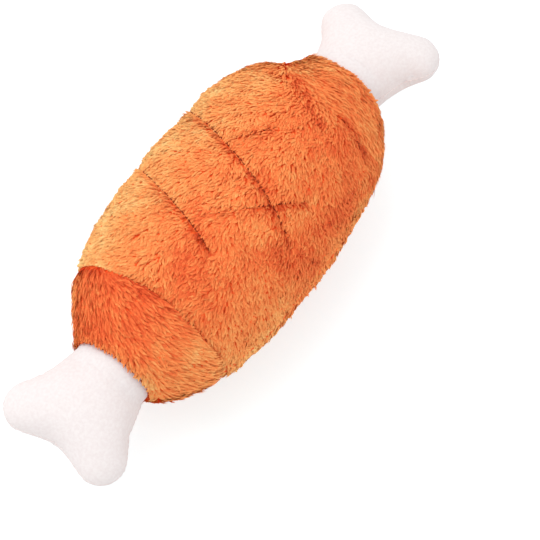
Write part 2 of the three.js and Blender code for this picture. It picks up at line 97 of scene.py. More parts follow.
TOPSTITCHES = {
    "long_near": {"from": (-4, 75), "to": (-24.8, -17), "strength": (1.0, 1.0)},
    "long_far": {"from": (25, 75), "to": (-3.1, -51.3), "strength": (1.0, 0.9)},
    "short_near": {"from": (-18.6, 1), "to": (12.1, -41.6), "strength": (0.1, 0.8)},
    "short_far": {"from": (13.2, 14.5), "to": (26.3, -4.1), "strength": (0.1, 0.4)},
}

# Lines where the pile falls apart, shows its red roots and takes painted shade in its gap, in the same way

PARTINGS = [
    {"from": (50, 18), "to": (39.2, -22.8), "strength": (1, 1)},
    {"from": (47.5, -30), "to": (44, -56), "strength": (1, 1)},
    {"from": (1.6, -62.8), "to": (3.2, -80), "strength": (0.8, 0.5)},
    {"from": (0, -79), "to": (-9, -79), "strength": (0.7, 0.7)},
    {"from": (-31, -32), "to": (-22, -40), "strength": (0.5, 0.3)},
]
PARTING_REACH = 1.9 * MM

# Pile: locks of a few strands each

PILE_DEPTH = 1.25 * MM  # from the tips down to the cloth that carries them
LOCK_SPACING = 0.95 * MM
LOCK_SPREAD = 0.55 * MM  # roots of a lock's strands lie this far round its middle
LOCK_GATHER = 0.2  # share of that spread that is left at the tips
LOCK_STRANDS = 5
STRAND_LENGTH = 3.5 * MM
STRAND_HALF_WIDTH = 0.32 * MM
STRAND_PARTS = (0.32, 0.38, 0.3)  # shares of its length from root to tip
ROOT_TONES = [(252, 92, 40), (255, 108, 50)]
PILE_TONES = [
    (208, 72, 38), (230, 92, 49), (244, 112, 61), (251, 131, 72), (255, 149, 84),
    (255, 164, 95), (255, 179, 108), (255, 194, 122), (255, 209, 138),
]
SEED = 20

# Camera of the photograph

CAMERA_AZIMUTH = -54.85
CAMERA_ELEVATION = 64.6
CAMERA_DISTANCE = 0.8
CAMERA_LENS = 149.07
AIM_RIGHT = 15.1 * MM  # from the barrel's middle to the middle of the picture
AIM_UP = -16.4 * MM


# Materials

SHEEN_ROUGHNESS = 0.5
SPECULAR_LEVEL = 0.1
MOTTLE_DETAIL = 4
MOTTLE_RANGE = (0.35, 0.65)  # of the noise, between the darker and the lighter colour
BUMP_DETAIL = 3
BUMP_STRENGTH = 0.5


def srgb(red, green, blue):
    """A colour from 0 to 255 as the linear values that shaders take."""
    def linear(value):
        value /= 255
        return value / 12.92 if value <= 0.04045 else ((value + 0.055) / 1.055) ** 2.4
    return (linear(red), linear(green), linear(blue), 1.0)


def new_material(name, color, roughness=0.9, sheen=0.0, sheen_tint=(1, 1, 1, 1), **sockets):
    """A material with a plain colour, which sockets such as Metallic may add to."""
    material = bpy.data.materials.new(name)
    material.use_nodes = True
    shader = material.node_tree.nodes["Principled BSDF"]
    shader.inputs["Base Color"].default_value = color
    shader.inputs["Roughness"].default_value = roughness
    shader.inputs["Sheen Weight"].default_value = sheen
    shader.inputs["Sheen Roughness"].default_value = SHEEN_ROUGHNESS
    shader.inputs["Sheen Tint"].default_value = sheen_tint
    shader.inputs["Specular IOR Level"].default_value = SPECULAR_LEVEL
    for socket, value in sockets.items():
        shader.inputs[socket].default_value = value
    return material


def add_node(tree, kind, **inputs):
    """A shader node, with its inputs set to values or linked to the outputs given."""
    node = tree.nodes.new(f"ShaderNode{kind}")
    for name, value in inputs.items():
        if isinstance(value, bpy.types.NodeSocket):
            tree.links.new(value, node.inputs[name])
        else:
            node.inputs[name].default_value = value
    return node


def mottle(material, low, high, scale):
    """Lets the colour wander between two values in object space."""
    tree = material.node_tree
    place = add_node(tree, "TexCoord").outputs["Object"]
    noise = add_node(tree, "TexNoise", Scale=scale, Detail=MOTTLE_DETAIL, Vector=place)
    ramp = add_node(tree, "ValToRGB", Fac=noise.outputs["Fac"])
    for stop, position, color in zip(ramp.color_ramp.elements, MOTTLE_RANGE, (low, high)):
        stop.position = position
        stop.color = color
    tree.links.new(ramp.outputs["Color"], tree.nodes["Principled BSDF"].inputs["Base Color"])


def roughen(material, scale, height, stretch):
    """Adds a fine bump in object space."""
    tree = material.node_tree
    place = add_node(tree, "TexCoord").outputs["Object"]
    mapped = add_node(tree, "Mapping", Scale=stretch, Vector=place).outputs["Vector"]
    noise = add_node(tree, "TexNoise", Scale=scale, Detail=BUMP_DETAIL, Vector=mapped).outputs["Fac"]
    bump = add_node(tree, "Bump", Strength=BUMP_STRENGTH, Distance=height, Height=noise)
    tree.links.new(bump.outputs["Normal"], tree.nodes["Principled BSDF"].inputs["Normal"])


def finish(name, low, base, high, patches, grain, height, stretch=(1, 1, 1), **looks):
    """A material whose colour wanders between low and high in patches, with a grain of some height."""
    material = new_material(name, srgb(*base), **looks)
    mottle(material, srgb(*low), srgb(*high), patches)
    roughen(material, grain, height, stretch)
    return material


PILE_SHEEN = srgb(255, 180, 95)
PILE_SHEEN_WEIGHT = 0.45
PILE_ROUGHNESS = 0.85
# Painted glow: the roots' materials emit a little light, standing in for light passed down through the fibres
ROOT_PAINTED_GLOW = srgb(203, 85, 49)  # light that thin fibres pass on down to their roots
ROOT_PAINTED_GLOW_STRENGTH = 0.2

PILE_MATERIALS = [
    new_material(f"pile_{i}", srgb(*tone), PILE_ROUGHNESS, PILE_SHEEN_WEIGHT, PILE_SHEEN)
    for i, tone in enumerate(PILE_TONES)
] + [
    new_material(f"pile_root_{i}", srgb(*tone), PILE_ROUGHNESS, 0.0, PILE_SHEEN,
                 **{"Emission Color": ROOT_PAINTED_GLOW, "Emission Strength": ROOT_PAINTED_GLOW_STRENGTH})
    for i, tone in enumerate(ROOT_TONES)
]

SKIN = finish("plush_backing", (240, 92, 40), (248, 100, 46), (252, 112, 54), 260, 1800, 0.3 * MM)
SEAM_THREAD = finish("seam_thread", (180, 66, 30), (196, 76, 36), (210, 86, 42), 900, 2500, 0.15 * MM)
STITCH_THREAD = finish("topstitch_thread", (128, 46, 22), (146, 56, 28), (164, 68, 36), 900, 2500, 0.15 * MM)
BONE_CLOTH = finish("bone_cloth", (232, 223, 222), (235, 227, 226), (237, 230, 229), 900, 2600, 0.12 * MM,
                    stretch=(0.4, 1, 1), roughness=0.85, sheen=0.1)
BONE_THREAD = finish("bone_thread", (234, 220, 217), (240, 228, 225), (246, 236, 234), 900, 2500, 0.15 * MM)
FIBRE = finish("stuffing_fibre", (234, 233, 229), (244, 243, 240), (250, 249, 247), 300, 700, 0.8 * MM,
               stretch=(1, 0.3, 1))
VINYL = finish("squeaker_vinyl", (226, 230, 224), (232, 235, 230), (238, 240, 236), 80, 400, 0.05 * MM,
               roughness=0.35)
VALVE = finish("valve_plastic", (178, 194, 207), (185, 200, 212), (190, 205, 217), 90, 900, 0.03 * MM,
               roughness=0.4)
REED = finish("reed_brass", (192, 152, 66), (201, 162, 74), (210, 172, 84), 300, 1500, 0.02 * MM,
              stretch=(0.1, 1, 1), roughness=0.3, Metallic=1.0)

for node, material in (("squeaker_valve", VALVE), ("squeaker_reed_clip", VALVE), ("squeaker_reed", REED)):
    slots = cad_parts[node].data.materials
    slots.clear()
    slots.append(material)


# Mesh helpers


def in_scene(name, mesh):
    obj = bpy.data.objects.new(name, mesh)
    bpy.context.scene.collection.objects.link(obj)
    return obj


def mesh_object(name, points, faces, materials):
    mesh = bpy.data.meshes.new(name)
    mesh.from_pydata([tuple(p) for p in np.asarray(points, float)], [], [tuple(map(int, f)) for f in faces])
    mesh.update()
    for material in materials:
        mesh.materials.append(material)
    mesh.shade_smooth()
    return in_scene(name, mesh)


def unit(vectors):
    return vectors / np.maximum(np.linalg.norm(vectors, axis=-1, keepdims=True), 1e-12)


def arc_along(points):
    """Length of a line from its start to each of its points."""
    return np.concatenate([[0], np.cumsum(np.linalg.norm(np.diff(points, axis=0), axis=1))])


def at_places(places, arc, values):
    """A line's values at places along it."""
    return np.stack([np.interp(places, arc, column) for column in values.T], 1)


def grid_faces(rows, columns, closed):
    """Faces of a grid of points, row by row, which may close on itself along its columns."""
    last = columns if closed else columns - 1
    return [
        (i * columns + j, i * columns + (j + 1) % columns,
         (i + 1) * columns + (j + 1) % columns, (i + 1) * columns + j)
        for i in range(rows - 1) for j in range(last)
    ]


FORM_SCALE = 10  # Blender's Cloth is made for larger things, so it blows a form up at ten times its size
FORM_FRAMES = 20


def inflate(points, faces, pin, cap, pressure):
    """Blows up a cloth form with Blender's Cloth; pin is 1 where the cloth is held, cap the furthest move."""
    points = np.asarray(points, float)
    form = mesh_object("stuffing_form", points * FORM_SCALE, faces, [])
    held = form.vertex_groups.new(name="held")
    for index, weight in enumerate(pin):
        if weight > 0:
            held.add([index], float(weight), "REPLACE")
    cloth = form.modifiers.new("cloth", "CLOTH")
    settings = cloth.settings
    settings.quality = 6
    settings.mass = 0.15
    settings.tension_stiffness = settings.compression_stiffness = 12
    settings.shear_stiffness = 6
    settings.bending_stiffness = 0.6
    settings.air_damping = 2
    settings.vertex_group_mass = "held"
    settings.pin_stiffness = 2
    settings.use_pressure = True
    settings.uniform_pressure_force = pressure
    settings.effector_weights.gravity = 0
    cloth.collision_settings.use_collision = False
    cloth.point_cache.frame_start, cloth.point_cache.frame_end = 1, FORM_FRAMES
    scene = bpy.context.scene
    for step in range(1, FORM_FRAMES + 1):
        scene.frame_set(step)
    shaped = form.evaluated_get(bpy.context.evaluated_depsgraph_get())
    blown = np.empty(len(points) * 3)
    shaped.data.vertices.foreach_get("co", blown)
    scene.frame_set(1)
    mesh = form.data
    bpy.data.objects.remove(form)
    bpy.data.meshes.remove(mesh)
    move = blown.reshape(-1, 3) / FORM_SCALE - points
    size = np.maximum(np.linalg.norm(move, axis=1, keepdims=True), 1e-9)
    return points + move * (cap * np.tanh(size / cap) / size)


# Smooth fields


def step_up(value, start, end):
    """0 before start, 1 after end, and smooth between them."""
    share = np.clip((value - start) / (end - start), 0, 1)
    return share * share * (3 - 2 * share)


class Waves:
    """A smooth random field of a few plane waves, about from -1 to 1."""

    def __init__(self, seed, wavelength, count=24):
        rng = np.random.default_rng(seed)
        direction = unit(rng.normal(size=(count, 3)))
        self.vectors = direction * (2 * math.pi / wavelength) * rng.uniform(0.6, 1.5, (count, 1))
        self.phases = rng.uniform(0, 2 * math.pi, count)
        self.scale = math.sqrt(2 / count)

    def __call__(self, points):
        return np.sin(points @ self.vectors.T + self.phases).sum(-1) * self.scale


# Outline of the barrel


def barrel_radius(x):
    share = np.abs(x / SEAM_HALF_SPACING)
    return BARREL_RADIUS - (BARREL_RADIUS - SEAM_RADIUS) * share ** BARREL_BULGE


def end_point(share):
    """A point of an end's outline: share runs from 0 at the end seam to 1 at the neck hole."""
    drop = (1 - share ** END_BULGE) ** (1 / END_BULGE)
    x = SEAM_HALF_SPACING + (END_HALF_SPACING - SEAM_HALF_SPACING) * share
    return x, END_EDGE_RADIUS + (SEAM_RADIUS - END_EDGE_RADIUS) * drop


STATION = 1.3 * MM  # spacing of the skin's points along the toy
END_LENGTHENED = 1.35  # an end's outline is about this much longer than it reaches along the toy
COLUMNS = 168
HALF = COLUMNS // 2
# The skin goes on inside a neck hole: along the toy from the hole's plane, and radius, in mm
LIP = [(-6.0, 14.0), (-3.8, 14.8), (-1.8, 15.15), (-0.4, 15.6)]


def meridian():
    """The skin's line from neck hole to neck hole as [x, radius], and the indices of its end seams."""
    barrel_count = int(2 * SEAM_HALF_SPACING / STATION) + 1
    x = np.linspace(-SEAM_HALF_SPACING, SEAM_HALF_SPACING, barrel_count)
    barrel = np.stack([x, barrel_radius(x)], 1)
    end_count = int(END_LENGTHENED * (END_HALF_SPACING - SEAM_HALF_SPACING) / STATION)
    share = np.sin(np.linspace(0, math.pi / 2, end_count + 1)[1:])
    end = np.stack(end_point(np.minimum(share, 1.0)), 1)
    outer = np.concatenate([end[::-1] * (-1, 1), barrel, end])
    slope = unit(np.gradient(outer, axis=0))
    outer = outer + PILE_DEPTH * np.stack([slope[:, 1], -slope[:, 0]], 1)
    lip = np.array([(END_HALF_SPACING + along * MM, radius * MM) for along, radius in LIP])
    line = np.concatenate([lip * (-1, 1), outer, lip[::-1]])
    first = len(lip) + end_count
    return line, first, first + barrel_count - 1


LINE, NEAR_SEAM_ROW, FAR_SEAM_ROW = meridian()
ROWS = len(LINE)
DEGREES = np.arange(COLUMNS) * 360 / COLUMNS - 90  # column 0 lies on the right side seam
ARC_SCALE = math.radians(1) * BARREL_RADIUS  # length of a degree round the barrel


def row_offset(row, x, degrees):
    """Distance from points to a row of stitches on the unrolled crown, and how tightly it is sewn there."""
    start, end = (np.array(row[end]) * (MM, ARC_SCALE) for end in ("from", "to"))
    points = np.stack([x, degrees * ARC_SCALE], -1)
    along = end - start
    share = np.clip(((points - start) @ along) / (along @ along), 0, 1)
    tight = row["strength"][0] + (row["strength"][1] - row["strength"][0]) * share
    return np.linalg.norm(points - start - share[..., None] * along, axis=-1), tight


# Depth and reach of the furrows at seams and rows

END_CREASE = {"near": (1.6 * MM, 2.2 * MM), "far": (0.3 * MM, 3.5 * MM)}
END_CREASE_EASED = {"near": 0.7, "far": 0.8}  # share that the left side, in these degrees, lacks of it
EASED_FROM, EASED_TO = (15, 50), 120
SIDE_CREASE = (0.5 * MM, 1.8 * MM)
ROW_CREASE = (0.9 * MM, 1.3 * MM)
ROW_PUCKER = (0.35 * MM, 5.5 * MM)
ROW_END = (0.5 * MM, 1.6 * MM)

LUMP_SIZE = 34 * MM
LUMP_HEIGHT = 0.35 * MM
HOLE_FADE = 5 * MM  # lumps and fullness die away this close to a neck hole

# Where the stuffing is fuller or slacker than the plain outline: distance along the toy from its
# middle, degrees round it, reach and height in mm

FULLNESS = [
    (61, 56, 11, -3.2),
    (62, -25, 11, -1.4),
    (36, 72, 14, 0.9),
    (43, -80, 14, 2.5),
    (-63, 102, 12, -3.0),
    (-45, 73, 10, 1.2),
]


def outward_at(angle):
    """Straight away from the barrel's axis, at an angle from the top."""
    return np.stack([np.zeros_like(angle), np.sin(angle), np.cos(angle)], -1)


def dent(distance, shape):
    depth, reach = shape
    return depth * np.exp(-((distance / reach) ** 2))


def skin_points():
    """The skin's grid of points before it is stuffed, with its furrows."""
    x = np.repeat(LINE[:, :1], COLUMNS, 1)
    radius = np.repeat(LINE[:, 1:], COLUMNS, 1)
    degrees = np.repeat(DEGREES[None, :], ROWS, 0)
    arc = arc_along(LINE)
    furrow = np.zeros_like(x)
    for end, row in (("near", NEAR_SEAM_ROW), ("far", FAR_SEAM_ROW)):
        eased = step_up(degrees[row], *EASED_FROM) * (degrees[row] < EASED_TO)
        pull = 1 - END_CREASE_EASED[end] * eased
        furrow += dent(arc - arc[row], END_CREASE[end])[:, None] * pull
    on_barrel = (np.arange(ROWS) >= NEAR_SEAM_ROW) & (np.arange(ROWS) <= FAR_SEAM_ROW)
    for seam in (-90, 90):
        distance = np.radians(np.abs(degrees - seam)) * radius
        furrow += dent(distance, SIDE_CREASE) * on_barrel[:, None]
    for row in TOPSTITCHES.values():
        distance, tight = row_offset(row, x, degrees)
        furrow += tight * (dent(distance, ROW_CREASE) + dent(distance, ROW_PUCKER))
        for end, pull in zip(("from", "to"), row["strength"]):
            across = ARC_SCALE * (degrees - row[end][1])
            furrow += pull * dent(np.hypot(x - row[end][0] * MM, across), ROW_END)
    radius = radius - furrow
    angle = np.radians(degrees)
    points = np.stack([MIDDLE_X + x, radius * np.sin(angle), AXIS_Z + radius * np.cos(angle)], -1)
    shift = np.clip((x - SEAM_HALF_SPACING) / (END_HALF_SPACING - SEAM_HALF_SPACING), 0, 1)
    points[..., 1] += NECK["far"][1] * shift
    lumps = Waves(SEED, LUMP_SIZE)
    outward = outward_at(angle)
    fade = np.clip((END_HALF_SPACING - np.abs(x)) / HOLE_FADE, 0, 1)
    points += outward * (LUMP_HEIGHT * lumps(points) * fade)[..., None]
    for along, turn, reach, height in FULLNESS:
        row = int(np.argmin(np.abs(LINE[:, 0] - along * MM)))
        heart = points[row, int((turn + 90) * COLUMNS / 360) % COLUMNS]
        distance = np.linalg.norm(points - heart, axis=-1)
        points += outward * dent(distance, (height * MM, reach * MM))[..., None] * fade[..., None]
    points[..., 2] = np.maximum(points[..., 2], FLOOR_SKIN)
    return points


def grid_normals(points):
    """Outward normals of the skin's grid."""
    along = np.gradient(points, axis=0)
    around = np.roll(points, -1, 1) - np.roll(points, 1, 1)
    return unit(np.cross(along, around))


SKIN_POINTS = skin_points()
SKIN_NORMALS = grid_normals(SKIN_POINTS)

BARREL_PUFF = 1.1 * MM  # furthest move of the barrel's cloth when it is blown up
BARREL_PRESSURE = 24
FORM_STEP = 2  # the form that is blown up takes every second point of the skin
HELD_ROWS = 5  # of the skin in each neck hole
HELD_REACH = 1.7 * MM  # round a row of stitches
HELD_DEGREES = 100  # rows of stitches hold it this far round from the top
FLOOR_GRIP = 0.3 * MM  # the skin is held up to this far above its lowest
SMOOTHINGS = 2


def skin_faces(rows, columns, closed):
    """Faces of a part of the skin's grid, which face outward."""
    return [face[::-1] for face in grid_faces(rows, columns, closed)]


def puffed(points, normals):
    """The skin after stuffing: blown up between the seams and the rows of stitches that hold it."""
    rows = sorted({*range(0, ROWS, FORM_STEP), NEAR_SEAM_ROW, FAR_SEAM_ROW, ROWS - 1})
    columns = list(range(0, COLUMNS, FORM_STEP))
    form = points[rows][:, columns]
    x = np.repeat(LINE[rows, :1], len(columns), 1)
    degrees = np.repeat(DEGREES[None, columns], len(rows), 0)
    held = np.zeros(x.shape)
    for place, row in enumerate(rows):
        if row in (NEAR_SEAM_ROW, FAR_SEAM_ROW) or not HELD_ROWS <= row < ROWS - HELD_ROWS:
            held[place] = 1
    barrel = np.abs(x) < SEAM_HALF_SPACING
    held[barrel & (np.isclose(np.abs(degrees), 90))] = 1
    for row in TOPSTITCHES.values():
        distance, tight = row_offset(row, x, degrees)
        near = (distance < HELD_REACH) & (np.abs(degrees) < HELD_DEGREES) & barrel
        held[near] = np.maximum(held[near], tight[near])
    held[form[..., 2] < FLOOR_SKIN + FLOOR_GRIP] = 1
    faces = skin_faces(len(rows), len(columns), True)
    blown = inflate(form.reshape(-1, 3), faces, held.ravel(), BARREL_PUFF, BARREL_PRESSURE)
    move = ((blown.reshape(form.shape) - form) * normals[rows][:, columns]).sum(-1)
    fine = np.stack([np.interp(np.arange(ROWS), rows, move[:, k]) for k in range(len(columns))], 1)
    wrap = np.concatenate([fine, fine[:, :1]], 1)
    places = columns + [COLUMNS]
    fine = np.stack([np.interp(np.arange(COLUMNS), places, line) for line in wrap])
    for _ in range(SMOOTHINGS):
        fine[1:-1] = (fine[:-2] + 2 * fine[1:-1] + fine[2:]) / 4
        fine = (np.roll(fine, 1, 1) + 2 * fine + np.roll(fine, -1, 1)) / 4
    points = points + fine[..., None] * normals
    points[..., 2] = np.maximum(points[..., 2], FLOOR_SKIN)
    return points


SKIN_POINTS = puffed(SKIN_POINTS, SKIN_NORMALS)
SKIN_NORMALS = grid_normals(SKIN_POINTS)

def press(obj):
    """Bakes the piece's placing into its mesh."""
    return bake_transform(obj)


def skin_panel(name, rows, columns, node):
    """A sewn panel of the plush's backing cloth: a part of the skin's grid."""
    columns = np.asarray(columns) % COLUMNS
    points = SKIN_POINTS[rows][:, columns]
    faces = skin_faces(len(rows), len(columns), False)
    obj = mesh_object(name, points.reshape(-1, 3), faces, [SKIN])
    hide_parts(node)
    return press(obj)


ALL_ROUND = list(range(COLUMNS + 1))
skin_panel("crown_backing", range(NEAR_SEAM_ROW, FAR_SEAM_ROW + 1), range(HALF + 1), "crown_panel")
skin_panel("belly_backing", range(NEAR_SEAM_ROW, FAR_SEAM_ROW + 1), range(HALF, COLUMNS + 1), "belly_panel")
skin_panel("near_end_backing", range(NEAR_SEAM_ROW + 1), ALL_ROUND, "near_end_panel")
skin_panel("far_end_backing", range(FAR_SEAM_ROW, ROWS), ALL_ROUND, "far_end_panel")


# Pile

SKIN_ARC = arc_along(LINE)
SKIN_RADIUS = np.linalg.norm(SKIN_POINTS[:, :, 1:] - (0, AXIS_Z), axis=-1).mean(1)


def on_skin(grid, row, column):
    """A grid's values at places between its points."""
    i = np.clip(np.floor(row).astype(int), 0, ROWS - 2)
    j = np.floor(column).astype(int)
    a, b = (row - i)[:, None], (column - j)[:, None]
    j0, j1 = j % COLUMNS, (j + 1) % COLUMNS
    near = grid[i, j0] * (1 - b) + grid[i, j1] * b
    far = grid[i + 1, j0] * (1 - b) + grid[i + 1, j1] * b
    return near * (1 - a) + far * a


def on_barrel(x):
    return np.abs(x) < SEAM_HALF_SPACING


def on_crown(x, degrees):
    return on_barrel(x) & (np.abs(degrees) < 90)


ROOT_JITTER = 0.4  # of the spacing


def roots(first, last, spacing, rng):
    """Places of locks between two rows of the skin, evenly spread: row and column values."""
    height = spacing * math.sqrt(3) / 2
    rows, columns = [], []
    for k in range(int((SKIN_ARC[last] - SKIN_ARC[first]) / height)):
        here = SKIN_ARC[first] + (k + 0.5) * height
        radius = np.interp(here, SKIN_ARC, SKIN_RADIUS)
        count = int(2 * math.pi * radius / spacing)
        turn = (np.arange(count) + 0.5 * (k % 2) + rng.uniform(-ROOT_JITTER, ROOT_JITTER, count)) / count
        place = here + rng.uniform(-ROOT_JITTER, ROOT_JITTER, count) * height
        rows.append(np.interp(place, SKIN_ARC, np.arange(ROWS)))
        columns.append(turn * COLUMNS)
    return np.concatenate(rows), np.concatenate(columns)


# How the pile is combed


def camera_axes():
    azimuth, elevation = math.radians(CAMERA_AZIMUTH), math.radians(CAMERA_ELEVATION)
    back = Vector((
        math.sin(azimuth) * math.cos(elevation),
        -math.cos(azimuth) * math.cos(elevation),
        math.sin(elevation)))
    right = Vector((0, 0, 1)).cross(back).normalized()
    return right, back.cross(right), back


RIGHT, UP, BACK = camera_axes()

# Round the barrel, in degrees from the top, the pile turns this far from straight towards the near end
CROWN_COMB = ([-180, -90, -60, -30, 0, 30, 60, 90, 180, 270],
              [0, -70, -60, -18, 3, 32, 82, 80, 0, -70])
# On the ends it falls this steeply, in degrees, by the place across the photo's picture plane in mm
END_FALL = {
    "near": ([-53, -35, -13, 0], [70, 48, 27, 14]),
    "far": ([12, 22, 30, 50], [165, 75, 40, 48]),
}
SWAY = 9  # degrees by which the pile wanders, in waves of two sizes
SWAY_SIZES = (30 * MM, 9 * MM)
CURL_SIZE = 3.2 * MM
BARREL_CURL, END_CURL = 16, 5
END_FAN = 0.7  # share of that wandering on the ends
RIM_TURN = 3 * MM  # round a neck hole the pile turns inward over this length
RIM_HELD = 0.4
FAR_COMB_FROM, FAR_COMB_TO = -9 * MM, 3 * MM  # from the far seam: the comb goes over to the end's


def end_comb(points, side):
    """The pile's direction on an end panel before it is laid on the skin."""
    across = (points - np.array(MIDDLE)) @ np.array(RIGHT) / MM
    fall = np.radians(np.interp(across, *END_FALL[side]))[:, None]
    return np.array(RIGHT) * np.cos(fall) - np.array(UP) * np.sin(fall)


def comb(points, normals, x, degrees):
    """The pile's direction on the skin."""
    angle = np.radians(degrees)
    zero = np.zeros_like(angle)
    round_toy = np.stack([zero, np.cos(angle), -np.sin(angle)], -1)
    along = np.stack([zero - 1, zero, zero], -1)
    sway = sum(Waves(SEED + k, size)(points) * SWAY for k, size in enumerate(SWAY_SIZES, 1))
    curl = Waves(SEED + 3, CURL_SIZE)(points)
    sway = sway + curl * np.where(on_barrel(x), BARREL_CURL, END_CURL)
    turn = np.radians(np.interp(degrees, *CROWN_COMB) + sway)[:, None]
    barrel = along * np.cos(turn) + round_toy * np.sin(turn)
    end = np.where(x[:, None] < 0, end_comb(points, "near"), end_comb(points, "far"))
    rim = np.clip(1 - (END_HALF_SPACING - PILE_DEPTH - np.abs(x)) / RIM_TURN, 0, 1)[:, None]
    end = end * (1 - RIM_HELD * rim) - outward_at(angle) * rim
    fan = np.radians(sway)[:, None] * END_FAN
    end = end - (end * normals).sum(-1, keepdims=True) * normals
    end = end * np.cos(fan) + np.cross(normals, end) * np.sin(fan)
    far_share = step_up(x, SEAM_HALF_SPACING + FAR_COMB_FROM, SEAM_HALF_SPACING + FAR_COMB_TO)
    share = np.where(x < -SEAM_HALF_SPACING, 1, far_share)[:, None]
    direction = barrel * (1 - share) + end * share
    return unit(direction - (direction * normals).sum(-1, keepdims=True) * normals)


# How the pile makes way for seams and stitches

STITCH_PARTING = 0.2 * MM  # bare strip on each side of a row of stitches
SEAM_PARTING = 0.25 * MM
SEAM_OVERHANG = 0.2 * MM
ROW_SIGHT = 1.5  # of a strand's length: how far ahead a row of stitches counts
SEAM_SIGHT = 2
TIGHT_ROW = 1.4  # rows sewn at less than full strength by this factor part the pile less
PARTING_RAGGED = (0.75, 0.6)  # a parting's strength, and how far it wanders along its line
PARTING_WAVES = 5 * MM


def room_before(x, degrees, direction, reach, near_seam=True):
    """How far a lock may reach along the barrel before it covers a row of stitches or the near seam."""
    angle = np.radians(degrees)
    start = np.stack([x, degrees * ARC_SCALE], -1)
    step = np.stack([
        direction[:, 0],
        direction[:, 1] * np.cos(angle) - direction[:, 2] * np.sin(angle),
    ], -1)
    room = np.full(len(x), np.inf)
    for row in TOPSTITCHES.values():
        a, b = (np.array(row[end]) * (MM, ARC_SCALE) for end in ("from", "to"))
        along = b - a
        cross = step[:, 0] * along[1] - step[:, 1] * along[0]
        offset = a - start
        t = (offset[:, 0] * along[1] - offset[:, 1] * along[0]) / cross
        s = (offset[:, 0] * step[:, 1] - offset[:, 1] * step[:, 0]) / cross
        hit = (t > 0) & (t < ROW_SIGHT * reach) & (s > 0) & (s < 1) & on_crown(x, degrees)
        room = np.where(hit, np.minimum(room, t), room)
    if near_seam:
        away = -x - SEAM_HALF_SPACING
        toward = -direction[:, 0] * np.where(away > 0, -1, 1)
        gap = np.abs(away) / np.maximum(toward, 1e-6) + SEAM_OVERHANG
        room = np.where((toward > 0) & (gap < SEAM_SIGHT * reach), np.minimum(room, gap), room)
    return room


def from_top(degrees):
    """Degrees round the toy as a value from -180 to 180."""
    return np.where(degrees > 180, degrees - 360, degrees)


def parted(points, x, degrees):
    """How far the pile has fallen apart at a place, from 0 to 1."""
    mean, ragged = PARTING_RAGGED
    strongest = np.clip(mean + ragged * Waves(SEED + 4, PARTING_WAVES)(points), 0, 1)
    most = np.zeros(len(x))
    for line in PARTINGS:
        distance, strength = row_offset(line, x, from_top(degrees))
        most = np.maximum(most, strength * np.exp(-((distance / PARTING_REACH) ** 2)))
    return most * strongest


# Painted light and shade on the pile, as steps of its tones: lighter towards the lamp and along some rims,
# darker and redder away from it; each step comes in between two degrees from the top, on the left side and on
# the right

PAINTED_SIDE_LIGHT = {
    "barrel": {"left": [(3.5, -10, 60), (-2.8, 62, 105)], "right": [(1.7, 66, 88), (-0.9, 30, 66)]},
    "near_end": {"left": [(1.5, 45, 85), (-1.4, -45, 15)], "right": [(1.2, 10, 60)]},
    "far_end": {"left": [(1.6, 0, 50)], "right": [(0.8, 30, 80)]},
}
# Painted light: the far end, which faces away from the lamp, a little lighter all over, and the near half of
# the right flank lighter
FAR_END_PAINTED_LIGHT = 0.1
NEAR_FLANK_PAINTED_LIGHT, NEAR_FLANK_SIDE, NEAR_FLANK_ALONG = 1.5, (35, 58), (5 * MM, 25 * MM)
CROWN_PATCH_SHADE, CROWN_PATCH, CROWN_PATCH_REACH = -0.6, (-33 * MM, -18), (12 * MM, 20)
# At the near end seam: a painted highlight on the barrel's lip, from SEAM_LIP_FROM degrees round, and painted
# shadow along the rest of the seam, within this reach
SEAM_LIP_PAINTED_HIGHLIGHT, SEAM_HOLLOW_PAINTED_SHADOW, SEAM_SHADE_REACH = 0.7, -1.2, 1.6 * MM
SEAM_LIP_FROM = -20
# Pile at a parting turns redder and darker: the red of its bared roots, and painted shade in the gap
PARTING_SHADE = -2.3
# Painted shade along the rows of stitches, in steps of tone, and its reach
ROW_PAINTED_SHADE, ROW_PAINTED_SHADE_REACH = -2.4, 0.9 * MM


# Painted light and shade of a panel by its side, from the steps on the left and on the right
def painted_side_light(panel, side):
    steps = PAINTED_SIDE_LIGHT[panel]
    return (sum(amount * step_up(side, start, end) for amount, start, end in steps["left"])
            + sum(amount * step_up(-side, start, end) for amount, start, end in steps["right"]))


def pile_painted_light_and_partings(points, x, degrees):
    """Steps of the pile's tones: painted light and shade, and the red of bared roots at partings."""
    barrel = on_barrel(x)
    side = from_top(degrees)
    flank = step_up(-side, *NEAR_FLANK_SIDE) * step_up(-x, *NEAR_FLANK_ALONG)
    places = zip((x, side), CROWN_PATCH, CROWN_PATCH_REACH)
    patch = sum(((place - middle) / reach) ** 2 for place, middle, reach in places)
    shade = painted_side_light("barrel", side) + NEAR_FLANK_PAINTED_LIGHT * flank + CROWN_PATCH_SHADE * np.exp(-patch)
    end = np.where(x < 0, painted_side_light("near_end", side), FAR_END_PAINTED_LIGHT + painted_side_light("far_end", side))
    shade = np.where(barrel, shade, end)
    # Painted highlight on the barrel's lip at the near end seam, and painted shadow along the rest of it
    seam = np.abs(np.abs(x) - SEAM_HALF_SPACING)
    lip = np.where(barrel & (side > SEAM_LIP_FROM), SEAM_LIP_PAINTED_HIGHLIGHT, SEAM_HOLLOW_PAINTED_SHADOW)
    shade = shade + np.where(x < 0, lip, 0) * np.exp(-((seam / SEAM_SHADE_REACH) ** 2))
    shade = shade + PARTING_SHADE * parted(points, x, degrees)
    # Painted shade in the furrows along the rows of stitches
    for row in TOPSTITCHES.values():
        distance, tight = row_offset(row, x, degrees)
        near = np.exp(-((distance / ROW_PAINTED_SHADE_REACH) ** 2)) * on_crown(x, degrees)
        shade = shade + ROW_PAINTED_SHADE * tight * near
    return shade


# How locks vary, most as standard deviations: angles in degrees, lengths and tones as shares or steps

